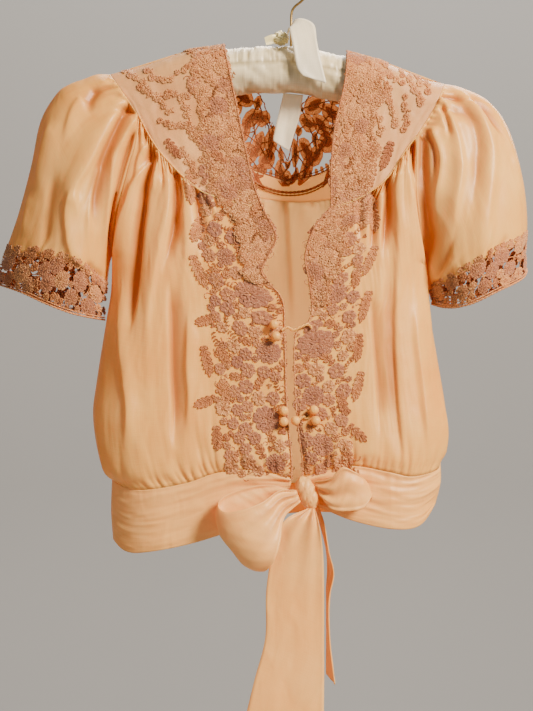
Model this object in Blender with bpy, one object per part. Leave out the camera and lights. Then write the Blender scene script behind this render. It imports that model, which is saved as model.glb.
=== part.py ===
"""A short-sleeved silk bed jacket with corded lace, tied at the waist, on a padded hanger.

The hook's inner top, where a rail holds it, is the origin. The hanger lies in the plane Y = 0,
the jacket's front faces -Y, and "left" and "right" are as seen from the front.
Outlines are in millimetres, as (across, up) pairs, and depths are measured from the hanger plane.
"""

import math

import bmesh
import bpy
import numpy as np
from mathutils import Euler, Matrix, Vector

MM = 0.001
CLOTH = 1.2             # wall of the silk
LACE = 1.3              # wall of the corded lace
SEAM = 0.25             # each piece stops this far from its seam line
LIFT = 0.45             # lace that lies on silk is this far off it
BAR_UNDER_CLOTH = 2.1   # from the cloth's outside to the bar's top
DRAPE_RADIUS = 28.5     # the cloth's bend over the bar
SIDE_ROUND = 60.0       # how far from a side the body keeps curving
RIBBON = 1.0            # wall of the hanger's ribbon
HOOK_WIRE = 1.3
BALL = 4.9              # button radius

# outlines seen from the front, each from top to bottom or from left to right
SHOULDER = {"left": [(-191, -125), (-170, -120), (-149, -114), (-107, -99), (-72, -94)],
            "right": [(58, -101), (92, -110), (126, -125), (140, -131), (160, -135)]}
YOKE_OUTER = {"left": [(-191, -125), (-175, -148), (-160, -170)],
              "right": [(160, -135), (147, -163), (129, -192)]}
YOKE_SEAM = {"left": [(-160, -170), (-146, -196), (-132, -215), (-106, -241), (-83, -255), (-30, -269)],
             "right": [(129, -192), (117, -208), (99, -235), (83, -249), (61, -261), (40, -267)]}
ARMHOLE = {"left": [(-160, -170), (-163, -199), (-171, -227), (-180, -262), (-186, -293), (-189, -314)],
           "right": [(129, -192), (128, -244), (132, -284), (138, -322)]}
SIDE = {"left": [(-189, -314), (-190, -351), (-195, -383), (-205, -446), (-209, -485), (-201, -533),
                 (-189, -550)],
        "right": [(138, -322), (142, -362), (151, -414), (162, -482), (161, -513), (156, -532)]}
NECK = {"left": [(-72, -94), (-60, -150), (-50, -199), (-40, -243), (-30, -269)],
        "right": [(58, -101), (54, -138), (44, -183), (40, -225), (40, -267)]}
FRONT_EDGE = {"left": [(-30, -269), (-17, -297), (-25, -317), (-32, -333), (-24, -345), (-10, -364),
                       (-8, -400), (-6, -470), (-1, -526), (-1, -546)],
              "right": [(40, -267), (23, -287), (13, -317), (17, -343), (20, -368), (17, -384),
                        (3, -400), (2, -445), (5, -490), (10, -528), (10, -546)]}
WAIST = {"left": [(-189, -550), (-168, -558), (-145, -558), (-108, -551), (-78, -541), (-43, -538),
                  (-1, -546)],
         "right": [(10, -546), (57, -534), (98, -540), (123, -545), (149, -540), (156, -532)]}
BAND_SIDE = {"left": [(-189, -550), (-190, -582), (-188, -612)],
             "right": [(156, -532), (156, -553), (151, -574)]}
BAND_BOTTOM = {"left": [(-188, -612), (-173, -623), (-150, -623), (-97, -612), (-40, -592), (-3, -572)],
               "right": [(10, -571), (29, -577), (61, -590), (103, -599), (132, -596), (151, -574)]}
SLEEVE_OUTER = {"left": [(-191, -125), (-205, -125), (-219, -130), (-233, -135), (-247, -145),
                         (-264, -174), (-274, -221), (-287, -270), (-300, -308), (-307, -330),
                         (-307, -346)],
                "right": [(160, -135), (178, -139), (206, -153), (227, -182), (242, -233),
                          (247, -278), (245, -310), (246, -331)]}
HEM = {"left": [(-307, -346), (-280, -355), (-253, -367), (-226, -377), (-197, -383)],
       "right": [(246, -331), (238, -341), (211, -354), (183, -367), (163, -369), (147, -366)]}
BACK_NECK = {"left": [(-72, -94), (-50, -120), (-30, -148), (-21, -176), (-4, -212)],
             "right": [(-4, -212), (0, -192), (7, -161), (14, -148), (58, -101)]}
BACK_LACE_EDGE = {"left": [(-112, -100), (-88, -152), (-58, -212), (-4, -236)],
                  "right": [(-4, -236), (44, -218), (76, -157), (96, -111)]}
BACK_YOKE_SEAM = [(-160, -170), (-146, -190), (-118, -216), (-62, -245), (0, -256), (60, -250),
                  (98, -231), (118, -210), (129, -192)]
BACK_WAIST = [(-189, -550), (-100, -554), (0, -556), (100, -546), (156, -532)]
BACK_BAND_BOTTOM = [(-188, -612), (-160, -620), (-90, -606), (0, -588), (70, -589), (132, -595),
                    (151, -574)]

# how far the cloth stands from the hanger plane, below the shoulder ridge
FRONT_DEPTH = [(28, 28.5), (90, 33), (170, 40), (300, 45), (460, 46), (560, 44)]
BACK_DEPTH = [(28, 28.5), (90, 30), (170, 34), (300, 38), (460, 38), (560, 37)]

# main folds: place across at the top and at the bottom, from and to down the piece,
# height in mm (a valley is negative) and half width, as shares of the piece's size
FOLDS = {
    "front_left": [(0.05, 0.03, 0.05, 0.75, 4.0, 0.035), (0.19, 0.14, 0.00, 0.80, -9.0, 0.040),
                   (0.28, 0.22, 0.02, 0.85, 5.0, 0.045), (0.40, 0.35, 0.00, 0.62, -6.0, 0.035),
                   (0.50, 0.47, 0.03, 0.70, 3.5, 0.040), (0.62, 0.58, 0.05, 0.90, -3.0, 0.050)],
    "front_right": [(0.10, 0.06, 0.00, 0.55, -10.0, 0.040), (0.20, 0.14, 0.02, 0.90, 5.0, 0.045),
                    (0.33, 0.26, 0.00, 0.70, -8.0, 0.035), (0.42, 0.37, 0.02, 0.75, 4.5, 0.040),
                    (0.52, 0.46, 0.02, 0.65, -6.0, 0.035), (0.24, 0.27, 0.62, 1.00, -5.0, 0.060)],
    "back": [(0.14, 0.12, 0.00, 0.70, -6.0, 0.022), (0.22, 0.20, 0.02, 0.85, 4.0, 0.026),
             (0.33, 0.31, 0.00, 0.60, -6.5, 0.022), (0.47, 0.48, 0.02, 0.75, 4.5, 0.030),
             (0.58, 0.60, 0.00, 0.65, -6.0, 0.024), (0.72, 0.75, 0.00, 0.80, -6.5, 0.024),
             (0.84, 0.86, 0.02, 0.70, 4.0, 0.026)],
    "sleeve_left": [(0.46, 0.62, 0.00, 0.70, -6.0, 0.055), (0.30, 0.34, 0.05, 0.95, 5.0, 0.060),
                    (0.66, 0.80, 0.05, 0.85, 4.0, 0.060), (0.16, 0.14, 0.10, 0.90, -4.0, 0.060)],
    "sleeve_right": [(0.12, 0.16, 0.00, 0.65, 5.0, 0.045), (0.24, 0.30, 0.00, 0.80, -5.0, 0.050),
                     (0.50, 0.56, 0.05, 0.95, 5.0, 0.070), (0.70, 0.74, 0.05, 0.80, -4.5, 0.050)],
}
# gathers: how many, over which part of the seam, height in mm, and where down the piece they die
GATHERS = {
    "front_left": (11, 0.00, 0.56, 2.1, 0.34),
    "front_right": (10, 0.00, 0.56, 2.1, 0.34),
    "back": (24, 0.03, 0.97, 2.0, 0.26),
    "sleeve_left": (10, 0.03, 0.74, 1.9, 0.40),
    "sleeve_right": (10, 0.03, 0.74, 1.9, 0.40),
}

COLOURS = {"silk": ((0.80, 0.53, 0.33), 0.42, 0.0), "band": ((0.78, 0.47, 0.30), 0.45, 0.0),
           "lace": ((0.50, 0.22, 0.12), 0.80, 0.0), "satin": ((0.85, 0.80, 0.69), 0.35, 0.0),
           "ribbon": ((0.82, 0.79, 0.70), 0.40, 0.0), "brass": ((0.55, 0.36, 0.12), 0.25, 1.0)}


def smooth_line(points, steps=14):
    """A curve through the points, as a dense line with its running length."""
    p = np.array(points, dtype=float)
    p = np.vstack([2 * p[0] - p[1], p, 2 * p[-1] - p[-2]])
    t = np.linspace(0, 1, steps, endpoint=False)[:, None]
    dense = []
    for a, b, c, d in zip(p[:-3], p[1:-2], p[2:-1], p[3:]):
        dense.append(0.5 * (2 * b + (c - a) * t + (2 * a - 5 * b + 4 * c - d) * t ** 2
                            + (3 * b - a - 3 * c + d) * t ** 3))
    dense = np.vstack(dense + [p[-2:-1]])
    run = np.concatenate([[0], np.cumsum(np.linalg.norm(np.diff(dense, axis=0), axis=1))])
    return dense, run


def join(*curves):
    """One line of several curves laid end to end, with the corners between them kept."""
    dense = np.vstack([smooth_line(c)[0] for c in curves])
    keep = np.concatenate([[True], np.linalg.norm(np.diff(dense, axis=0), axis=1) > 1e-6])
    dense = dense[keep]
    run = np.concatenate([[0], np.cumsum(np.linalg.norm(np.diff(dense, axis=0), axis=1))])
    return dense, run


def at(line, share):
    """Points at the given shares of a line's length."""
    dense, run = line
    s = np.asarray(share, dtype=float) * run[-1]
    return np.stack([np.interp(s, run, dense[:, k]) for k in range(dense.shape[1])], axis=-1)


def coons(top, bottom, left, right, u, v):
    """The patch inside four lines; u runs left to right and v top to bottom, both as grids."""
    across = (1 - v)[..., None] * at(top, u) + v[..., None] * at(bottom, u)
    down = (1 - u)[..., None] * at(left, v) + u[..., None] * at(right, v)
    corner = ((1 - u) * (1 - v))[..., None] * at(top, 0) + (u * (1 - v))[..., None] * at(top, 1) \
        + ((1 - u) * v)[..., None] * at(bottom, 0) + (u * v)[..., None] * at(bottom, 1)
    return across + down - corner


RIDGE = np.array(SHOULDER["left"] + SHOULDER["right"], dtype=float)
SIDE_LINE = {s: join(ARMHOLE[s], SIDE[s], BAND_SIDE[s])[0] for s in ("left", "right")}
CENTRE = 5.0


def cloth_depth(xz, face):
    """How far the body's cloth stands from the hanger plane at points seen from the front."""
    x = xz[..., 0]
    z = xz[..., 1]
    table = np.array(FRONT_DEPTH if face == "front" else BACK_DEPTH)
    drop = np.interp(x, RIDGE[:, 0], RIDGE[:, 1]) - z
    over_bar = np.sqrt(np.clip(DRAPE_RADIUS ** 2 - np.clip(DRAPE_RADIUS - drop, 0, None) ** 2, 0, None))
    full = np.where(drop < DRAPE_RADIUS, over_bar, np.interp(drop, table[:, 0], table[:, 1]))
    out = np.empty_like(full)
    for side, sign in (("left", 1), ("right", -1)):
        line = SIDE_LINE[side]
        edge = np.interp(-z, -line[:, 1], line[:, 0])
        inward = np.clip(sign * (x - edge) / SIDE_ROUND, 0, 1)
        top, under = ARMHOLE[side][0][1], ARMHOLE[side][-1][1]
        open_share = np.sqrt(1 - np.clip((top - z) / (top - under), 0, 1) ** 2)
        factor = open_share + (1 - open_share) * np.sqrt(inward * (2 - inward))
        mine = x <= CENTRE if side == "left" else x > CENTRE
        out = np.where(mine, full * factor, out)
    return out


def ridge_height(x):
    """Height of the shoulder ridge."""
    return np.interp(x, RIDGE[:, 0], RIDGE[:, 1])


def on_body(xz, face):
    """Points of the body's surface, in mm."""
    sign = -1 if face == "front" else 1
    y = sign * (cloth_depth(xz, face) + SEAM)
    return np.stack([xz[..., 0], y, xz[..., 1]], axis=-1)


def body_normals(xz, face):
    """Unit normals out of the body's surface, level with the outline where the sides meet."""
    step = 0.5
    slope_x = (cloth_depth(xz + (step, 0), face) - cloth_depth(xz - (step, 0), face)) / (2 * step)
    slope_z = (cloth_depth(xz + (0, step), face) - cloth_depth(xz - (0, step), face)) / (2 * step)
    sign = -1 if face == "front" else 1
    level = np.where(cloth_depth(xz, face) < 0.5, 0.02, 1.0)
    n = np.stack([-slope_x, sign * level, -slope_z], axis=-1)
    return n / np.linalg.norm(n, axis=-1, keepdims=True)


def bump_window(v, start, end):
    """Rises after start, falls away before end."""
    s = np.clip((v - start) / max(0.18 * (end - start), 1e-6), 0, 1)
    e = np.clip((end - v) / (0.6 * (end - start)), 0, 1)
    return (s * s * (3 - 2 * s)) * (e * e * (3 - 2 * e))


def relief(name, u, v):
    """Height of the gathers and the main folds at places on a piece."""
    count, first, last, height, dies = GATHERS[name]
    phase = (u - first) / (last - first) * count
    inside = np.clip(np.minimum(u - first, last - u) * 60, 0, 1)
    grow = np.clip(v / 0.03, 0, 1)
    fade = np.clip(1 - v / dies, 0, 1)
    h = height * np.cos(2 * np.pi * phase) * inside * grow * fade
    for top, bottom, start, end, size, half in FOLDS[name]:
        middle = top + (bottom - top) * v
        h = h + size * np.exp(-((u - middle) / half) ** 2) * bump_window(v, start, end)
    edge = np.clip(np.minimum(u, 1 - u) * 30, 0, 1) * np.clip((1 - v) * 12, 0, 1) * np.clip(v * 40, 0, 1)
    return h * edge


def gather_columns(name, rest):
    """Columns on each crest and trough of the gathers, and evenly over the rest."""
    count, first, last, _, _ = GATHERS[name]
    crests = first + (last - first) * np.arange(0, 2 * count + 1) / (2 * count)
    head = np.linspace(0, first, 2)[:-1] if first > 0 else np.array([])
    tail = np.linspace(last, 1, rest + 1)[1:]
    return np.concatenate([head, crests, tail])


def inset(shares, length, start=1, end=1):
    """Shares pulled in by the seam gap, at the ends where there is a seam."""
    gap = SEAM / length
    return gap * start + np.asarray(shares) * (1 - gap * (start + end))


def mesh_object(name, points, faces, material):
    me = bpy.data.meshes.new(name)
    me.from_pydata([tuple(float(c) * MM for c in p) for p in points], [], faces)
    me.validate()
    ob = bpy.data.objects.new(name, me)
    PIECES.objects.link(ob)
    ob.data.materials.append(MATERIALS[material])
    me.shade_smooth()
    return ob


def grid_faces(rows, cols):
    return [(r * cols + c, r * cols + c + 1, (r + 1) * cols + c + 1, (r + 1) * cols + c)
            for r in range(rows - 1) for c in range(cols - 1)]


def shell(name, points, normals, faces, thickness, material):
    """A closed wall: the given face, its copy moved along the normals, and a rim between them."""
    points = points.reshape(-1, 3)
    moved = points + normals.reshape(-1, 3) * thickness
    count = len(points)
    uses = {}
    for f in faces:
        for i, j in zip(f, f[1:] + f[:1]):
            uses[(i, j)] = True
    rim = [(j, i, i + count, j + count) for i, j in uses if (j, i) not in uses]
    every = list(faces) + [tuple(i + count for i in f[::-1]) for f in faces] + rim
    ob = mesh_object(name, np.vstack([points, moved]), every, material)
    bm = bmesh.new()
    bm.from_mesh(ob.data)
    bmesh.ops.triangulate(bm, faces=bm.faces)
    bmesh.ops.recalc_face_normals(bm, faces=bm.faces)
    bm.to_mesh(ob.data)
    bm.free()
    return ob


def sheet(name, grid, normals, thickness, material):
    """A piece of cloth over a grid of points: thickness runs in from it, or out where negative."""
    return shell(name, grid, -normals, grid_faces(*grid.shape[:2]), thickness, material)


def pull_in(flat, row=None, column=None):
    """Moves one edge of a grid seen from the front into the piece by the seam gap."""
    line = flat[row] if row is not None else flat[:, column]
    along = np.gradient(line, axis=0)
    square = np.stack([-along[:, 1], along[:, 0]], axis=-1)
    square /= np.linalg.norm(square, axis=-1, keepdims=True)
    middle = len(line) // 2
    if np.dot(square[middle], flat.mean(axis=(0, 1)) - line[middle]) < 0:
        square = -square
    line += square * SEAM


def seam_shift(side, flat, u):
    """Moves the armhole edge of a body panel in by the seam gap, and leaves its side where it is."""
    top, under = ARMHOLE[side][0][1], ARMHOLE[side][-1][1]
    share = np.sqrt(1 - np.clip((top - flat[..., 1]) / (top - under), 0, 1) ** 2)
    flat[..., 0] += (1 if side == "left" else -1) * 1.4 * SEAM * share * (1 - u)


FRONT_ROWS = [0, 0.035, 0.10, 0.19, 0.31, 0.45, 0.61, 0.77, 0.91, 1]


def front(side):
    """A front gathered into its yoke, from the armhole to the wavy front edge."""
    name = "front_" + side
    top = smooth_line(YOKE_SEAM[side])
    bottom = smooth_line(WAIST[side] if side == "left" else WAIST[side][::-1])
    outer = join(ARMHOLE[side], SIDE[side])
    edge = smooth_line(FRONT_EDGE[side])
    u, v = np.meshgrid(gather_columns(name, 7), FRONT_ROWS)
    flat = coons(top, bottom, outer, edge, u, v)
    pull_in(flat, row=0)
    pull_in(flat, row=-1)
    seam_shift(side, flat, u)
    normals = body_normals(flat, "front")
    grid = on_body(flat, "front") + normals * relief(name, u, v)[..., None]
    sheet(name, grid, normals, CLOTH, "silk")
    return grid, normals


def front_lace(side, grid, normals):
    """Floral lace that lies on the front, made from the panel's points, with a leafy outer edge."""
    band = grid[1:, -8:].copy()
    steps = np.arange(band.shape[0])
    reach = 0.36 * (1 + np.cos(steps * 2.4))
    band[:, 0] += (band[:, 1] - band[:, 0]) * reach[:, None]
    band[:, -1] += (band[:, -2] - band[:, -1]) * 0.06
    out = normals[1:, -8:]
    sheet("front_lace_" + side, band + out * LIFT, out, -LACE, "lace")


def drape_rows(length, count):
    """Shares down a line of this length: even steps round the bar, then even steps to the end."""
    turns = DRAPE_RADIUS * (1 - np.cos(np.radians([0, 20, 38, 56, 73, 90]))) / length
    return np.concatenate([turns, np.linspace(turns[-1], 1, count)[1:]])


def yoke(side):
    """A curved front yoke, from the shoulder ridge down to the gathered seam."""
    top = smooth_line(SHOULDER[side] if side == "right" else SHOULDER[side][::-1])
    bottom = smooth_line(YOKE_SEAM[side][::-1])
    neck = smooth_line(NECK[side])
    outer = smooth_line(YOKE_OUTER[side])
    u, v = np.meshgrid(np.linspace(0, 1, 11), drape_rows(neck[1][-1], 5))
    flat = coons(top, bottom, neck, outer, u, v)
    pull_in(flat, row=-1)
    pull_in(flat, column=-1)
    flat[0, :, 1] = ridge_height(flat[0, :, 0])
    sheet("yoke_" + side, on_body(flat, "front"), body_normals(flat, "front"), CLOTH, "silk")


COLLAR_WIDTH = [(0, 40), (0.15, 46), (0.5, 50), (0.85, 36), (1, 14)]
COLLAR_LIFT = 0.85      # off the yoke
REVERS_LIFT = 2.1       # more, where the turned edge lies on the front's own lace


def collar_lace(side):
    """The thick corded band beside the neck edge, lying on yoke and front down to the lapel's tip."""
    inner = join(NECK[side], FRONT_EDGE[side][:5])
    toward = -1 if side == "left" else 1
    rows = drape_rows(inner[1][-1], 10)
    edge = at(inner, rows)
    across = np.interp(rows, *zip(*COLLAR_WIDTH)) * (1 + 0.09 * np.cos(rows * 38))
    flat = np.stack([edge + np.stack([toward * across * w, -0.12 * across * w * (rows > 0)], axis=-1)
                     for w in np.linspace(0, 1, 5)], axis=1)
    flat[0, :, 1] = ridge_height(flat[0, :, 0])
    out = body_normals(flat, "front")
    turned = np.clip((-225 - flat[..., 1:]) / 37, 0, 1)
    grid = on_body(flat, "front") + out * (COLLAR_LIFT + REVERS_LIFT * turned)
    sheet("collar_lace_" + side, grid, out, -LACE, "lace")


def back_yoke_lines():
    inner = join(BACK_LACE_EDGE["left"], BACK_LACE_EDGE["right"])
    outer = join(YOKE_OUTER["left"], BACK_YOKE_SEAM, YOKE_OUTER["right"][::-1])
    return inner, outer


def end_cluster(count):
    """Shares from 0 to 1, close together at both ends."""
    return (1 - np.cos(np.linspace(0, np.pi, count))) / 2


LACE_COLUMNS = np.concatenate([[0, 0.006, 0.024, 0.052], np.linspace(0.09, 0.91, 11),
                               [0.948, 0.976, 0.994, 1]])


def back_strip(inner, outer, a, b):
    """Places on a strip of the back between two lines, its ends on the shoulder ridge."""
    flat = (1 - b)[..., None] * at(inner, a) + b[..., None] * at(outer, a)
    at_ridge = (a < 1e-6) | (a > 1 - 1e-6)
    flat[..., 1] = np.where(at_ridge, ridge_height(flat[..., 0]), flat[..., 1])
    return flat


def back_yoke():
    inner, outer = back_yoke_lines()
    middles = (LACE_COLUMNS[1:] + LACE_COLUMNS[:-1]) / 2
    columns = np.sort(np.concatenate([LACE_COLUMNS, middles]))
    u, v = np.meshgrid(columns, [0, 0.5, 1])
    flat = back_strip(inner, outer, u, v)
    pull_in(flat, row=0)
    pull_in(flat, row=-1)
    flat[:, (0, -1), 1] = ridge_height(flat[:, (0, -1), 0])
    sheet("back_yoke", on_body(flat, "back"), body_normals(flat, "back"), CLOTH, "silk")


def lace_cells(name, surface, rows, cols, holes):
    """Lace with its gaps cut through: cells of a strip, each with an eight-sided gap or none.

    surface takes shares along and across the strip and gives points in mm and normals out of
    the cloth, and holes takes a cell's row and column and gives its gap's size as a share of
    the cell, or 0.
    """
    places = {}

    def place(a, b):
        return places.setdefault((round(a, 6), round(b, 6)), len(places))

    faces = []
    ring = [(-1, -1), (0, -1), (1, -1), (1, 0), (1, 1), (0, 1), (-1, 1), (-1, 0)]
    for r in range(len(rows) - 1):
        for c in range(len(cols) - 1):
            a, da = (cols[c] + cols[c + 1]) / 2, (cols[c + 1] - cols[c]) / 2
            b, db = (rows[r] + rows[r + 1]) / 2, (rows[r + 1] - rows[r]) / 2
            outer = [place(a + i * da, b + j * db) for i, j in ring]
            size = holes(r, c)
            if not size:
                faces.append(tuple(outer))
                continue
            soft = [0.80 if i and j else 1.0 for i, j in ring]
            gap = [place(a + i * da * size * k, b + j * db * size * k) for (i, j), k in zip(ring, soft)]
            for k in range(8):
                n = (k + 1) % 8
                faces.append((outer[k], outer[n], gap[n], gap[k]))
    keys = np.array(list(places))
    points, normals = surface(keys[:, 0], keys[:, 1])
    return shell(name, points, -normals, faces, LACE, "lace")


def back_neck_lace():
    """Open lace round the V of the back neck."""
    inner = join(BACK_NECK["left"], BACK_NECK["right"])
    outer = join(BACK_LACE_EDGE["left"], BACK_LACE_EDGE["right"])

    def surface(a, b):
        flat = back_strip(inner, outer, a, inset(b, 18, start=0))
        return on_body(flat, "back"), body_normals(flat, "back")

    def holes(r, c):
        near_ridge = c < 4 or c > len(LACE_COLUMNS) - 6
        return 0 if near_ridge or (r + 2 * c) % 3 == 0 else (0.56, 0.70, 0.62)[r]

    lace_cells("back_neck_lace", surface, np.linspace(0, 1, 4), LACE_COLUMNS, holes)


BACK_ROWS = [0, 0.035, 0.10, 0.19, 0.45, 0.61, 0.77, 0.91, 1]


def back():
    """The back panel, gathered into the back yoke."""
    top = smooth_line(BACK_YOKE_SEAM)
    bottom = smooth_line(BACK_WAIST)
    left = join(ARMHOLE["left"], SIDE["left"])
    right = join(ARMHOLE["right"], SIDE["right"])
    columns = np.sort(np.concatenate([gather_columns("back", 1), [0.012, 0.988]]))
    u, v = np.meshgrid(columns, BACK_ROWS)
    flat = coons(top, bottom, left, right, u, v)
    pull_in(flat, row=0)
    pull_in(flat, row=-1)
    seam_shift("left", flat, np.clip(u * 2, 0, 1))
    seam_shift("right", flat, np.clip((1 - u) * 2, 0, 1))
    normals = body_normals(flat, "back")
    grid = on_body(flat, "back") + normals * relief("back", u, v)[..., None]
    sheet("back", grid, normals, CLOTH, "silk")


SLEEVE_HEM_DEPTH = 40.0
SLEEVE_BULGE = 17.0
CUFF_FROM = {"left": (0.865, 0.52), "right": (0.83, 0.66)}


def sleeve_surface(side, s, v):
    """The sleeve's outer surface: s runs from -1, under the arm behind, through 0, the outer
    line, to 1, under the arm in front, and v from the cap to the hem."""
    toward = -1 if side == "left" else 1
    share = np.abs(s)
    cap = join(YOKE_OUTER[side], ARMHOLE[side])
    hem = smooth_line(HEM[side])
    outer = smooth_line(SLEEVE_OUTER[side])
    under = ARMHOLE[side][-1]
    inner = smooth_line([under, (under[0] + 3 * toward, under[1] - 22), HEM[side][-1]])
    flat = coons(cap, hem, outer, inner, share, v)
    cap_flat = at(cap, share)
    cap_depth = np.where(s > 0, cloth_depth(cap_flat, "front"), cloth_depth(cap_flat, "back"))
    arch = np.sin(np.pi * np.clip(share, 0, 1)) ** 0.65
    depth = (1 - v) * cap_depth + v * SLEEVE_HEM_DEPTH * arch + SEAM
    depth = depth + SLEEVE_BULGE * arch * np.sin(np.pi * np.clip(v, 0, 1)) ** 0.75
    clear = 0.9 * share * np.clip(v * 8, 0, 1)
    return np.stack([flat[..., 0] + toward * clear, -np.sign(s) * depth, flat[..., 1]], axis=-1)


def sleeve_normals(side, s, v):
    """Unit normals out of the sleeve, level with the outline at the underarm seam."""
    ds, dv = 0.004, 0.004
    near, far = np.clip(np.abs(s) - ds, 1e-4, 1), np.clip(np.abs(s) + ds, 1e-4, 1)
    sign = np.sign(s)
    along = sleeve_surface(side, sign * far, v) - sleeve_surface(side, sign * near, v)
    low, high = np.clip(v - dv, 0.001, 1), np.clip(v + dv, 0.001, 1)
    down = sleeve_surface(side, s, high) - sleeve_surface(side, s, low)
    n = np.cross(along, down)
    n /= np.maximum(np.linalg.norm(n, axis=-1, keepdims=True), 1e-9)
    outward_y = np.where(s > 0, -1, 1)
    n = np.where((n[..., 1] * outward_y < 0)[..., None], -n, n)
    at_edge = ((np.abs(s) < 1e-3) | (np.abs(s) > 1 - 1e-3))[..., None]
    n = np.where(at_edge, n * (1, 0.02, 1), n)
    return n / np.maximum(np.linalg.norm(n, axis=-1, keepdims=True), 1e-9)


def cuff_line(side, share):
    start, end = CUFF_FROM[side]
    return start + (end - start) * share ** 1.4


def cap_length(share):
    """About how long the sleeve is from cap to hem, in mm."""
    return 230 - 165 * share


def sleeve(side):
    """A puffed sleeve, one wall that goes round from the underarm seam and back to it."""
    name = "sleeve_" + side
    half = np.clip(gather_columns(name, 3), 1e-4, 1)
    s = np.concatenate([-half[:0:-1], half])
    rows = np.array([0, 0.05, 0.15, 0.30, 0.50, 0.75, 1])
    ss, vv = np.meshgrid(s, rows)
    share = np.abs(ss)
    v = (0.55 + vv * (cuff_line(side, share) * cap_length(share) - 0.9)) / cap_length(share)
    normals = sleeve_normals(side, ss, v)
    grid = sleeve_surface(side, ss, v) + normals * relief(name, share, vv)[..., None]
    sheet(name, grid, normals, CLOTH, "silk")


def cuff(side, face):
    """Half of a lace sleeve hem, with its gaps cut through, above a bound edge."""
    sign = 1 if face == "front" else -1

    def surface(a, b):
        share = np.clip(a, 1e-4, 1)
        start = cuff_line(side, share) + 0.25 / cap_length(share)
        v = start + b * (1 - start)
        return sleeve_surface(side, sign * share, v), sleeve_normals(side, sign * share, v)

    def holes(r, c):
        return (0, 0.60 if c % 3 else 0.48)[r]

    cols = end_cluster(8) * 0.45 + np.linspace(0, 1, 8) * 0.55
    lace_cells(f"cuff_{side}_{face}", surface, [0, 0.42, 1], cols, holes)


def waistband(side):
    """One stretch of the wide band, from the side to the knot."""
    top = smooth_line(WAIST[side])
    bottom = smooth_line(BAND_BOTTOM[side])
    if side == "left":
        ends = smooth_line(BAND_SIDE["left"]), smooth_line([WAIST["left"][-1], BAND_BOTTOM["left"][-1]])
        columns = 1 - np.cos(np.linspace(0, np.pi / 2, 18))
    else:
        ends = smooth_line([WAIST["right"][0], BAND_BOTTOM["right"][0]]), smooth_line(BAND_SIDE["right"])
        columns = np.sin(np.linspace(0, np.pi / 2, 16))
    u, v = np.meshgrid(columns, [0, 0.33, 0.67, 1])
    flat = coons(top, bottom, *ends, u, v)
    pull_in(flat, row=0)
    sheet("waistband_" + side, on_body(flat, "front"), body_normals(flat, "front"), CLOTH, "band")


def waistband_back():
    top = smooth_line(BACK_WAIST)
    bottom = smooth_line(BACK_BAND_BOTTOM)
    ends = smooth_line(BAND_SIDE["left"]), smooth_line(BAND_SIDE["right"])
    u, v = np.meshgrid(end_cluster(25), [0, 0.5, 1])
    flat = coons(top, bottom, *ends, u, v)
    pull_in(flat, row=0)
    sheet("waistband_back", on_body(flat, "back"), body_normals(flat, "back"), CLOTH, "band")


KNOT_MIDDLE = (15.0, -56.1, -561.0)
KNOT_HALF = (11.0, 9.6, 18.0)
KNOT_TILT = 24.0
KNOT_GAP = 0.5


def at_knot(angle, lean, out=0.0):
    """A place just off the knot's outline: angle is clockwise from its top as seen from the
    front, lean is how far round to the front it lies, in degrees."""
    a, b, tilt = math.radians(angle), math.radians(lean), math.radians(KNOT_TILT)
    x = (KNOT_HALF[0] + KNOT_GAP + out) * math.sin(a) * math.cos(b)
    y = -(KNOT_HALF[1] + KNOT_GAP + out) * math.sin(b)
    z = (KNOT_HALF[2] + KNOT_GAP + out) * math.cos(a) * math.cos(b)
    return (KNOT_MIDDLE[0] + x * math.cos(tilt) - z * math.sin(tilt), KNOT_MIDDLE[1] + y,
            KNOT_MIDDLE[2] + x * math.sin(tilt) + z * math.cos(tilt))


# the bow: rows down each ribbon, as the places of its two edges (across, depth, up)
TIES = {
    "tie_loop_left": [(at_knot(-62, 28, 0.35), at_knot(-108, 28, 0.35)),
                      ((-14, -68, -551), (-11, -68, -583)),
                      ((-32, -78, -553), (-18, -80, -612)), ((-54, -82, -560), (-32, -84, -638)),
                      ((-70, -77, -568), (-44, -77, -647)), ((-76, -68, -574), (-47, -68, -647)),
                      ((-70, -60, -571), (-42, -59, -640)), ((-46, -55, -564), (-26, -54, -622)),
                      ((-20, -52, -560), (-13, -51.5, -590)), (at_knot(-75, -28), at_knot(-105, -28))],
    "tie_loop_right": [(at_knot(62, 15), at_knot(105, 15)), ((38, -69, -545), (38, -69, -576)),
                       ((50, -72, -534), (54, -71, -579)), ((62, -70, -538), (72, -69, -576)),
                       ((72, -64, -546), (80, -63, -566)), ((73, -58, -548), (80, -57, -568)),
                       ((62, -53, -542), (68, -53, -576)), ((42, -51, -548), (46, -51, -580)),
                       (at_knot(72, -28, 0.3), at_knot(98, -28, 0.3))],
    "tie_tail_long": [(at_knot(-150, 20), at_knot(178, 20)), ((-8, -69, -588), (27, -69, -592)),
                      ((-19, -68, -612), (31, -67, -622)), ((-27, -66, -660), (32, -66, -665)),
                      ((-28, -66, -708), (32, -66, -712)), ((-39, -67, -751), (32, -67, -760)),
                      ((-48, -66, -788), (31, -66, -822))],
    "tie_tail_short": [(at_knot(158, -8), at_knot(172, -30)), ((32, -52, -592), (28, -45, -594)),
                       ((37, -54, -622), (34, -42, -618)), ((42, -52, -645), (36, -30, -641)),
                       ((37, -54, -672), (35, -26, -668)), ((38, -56, -715), (36, -28, -712)),
                       ((43, -60, -757), (35, -30, -750))],
}
TIE_CREASE = 2.4


def grid_normals(grid):
    """Unit normals of a grid of points."""
    n = np.cross(np.gradient(grid, axis=1), np.gradient(grid, axis=0))
    return n / np.maximum(np.linalg.norm(n, axis=-1, keepdims=True), 1e-9)


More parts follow.
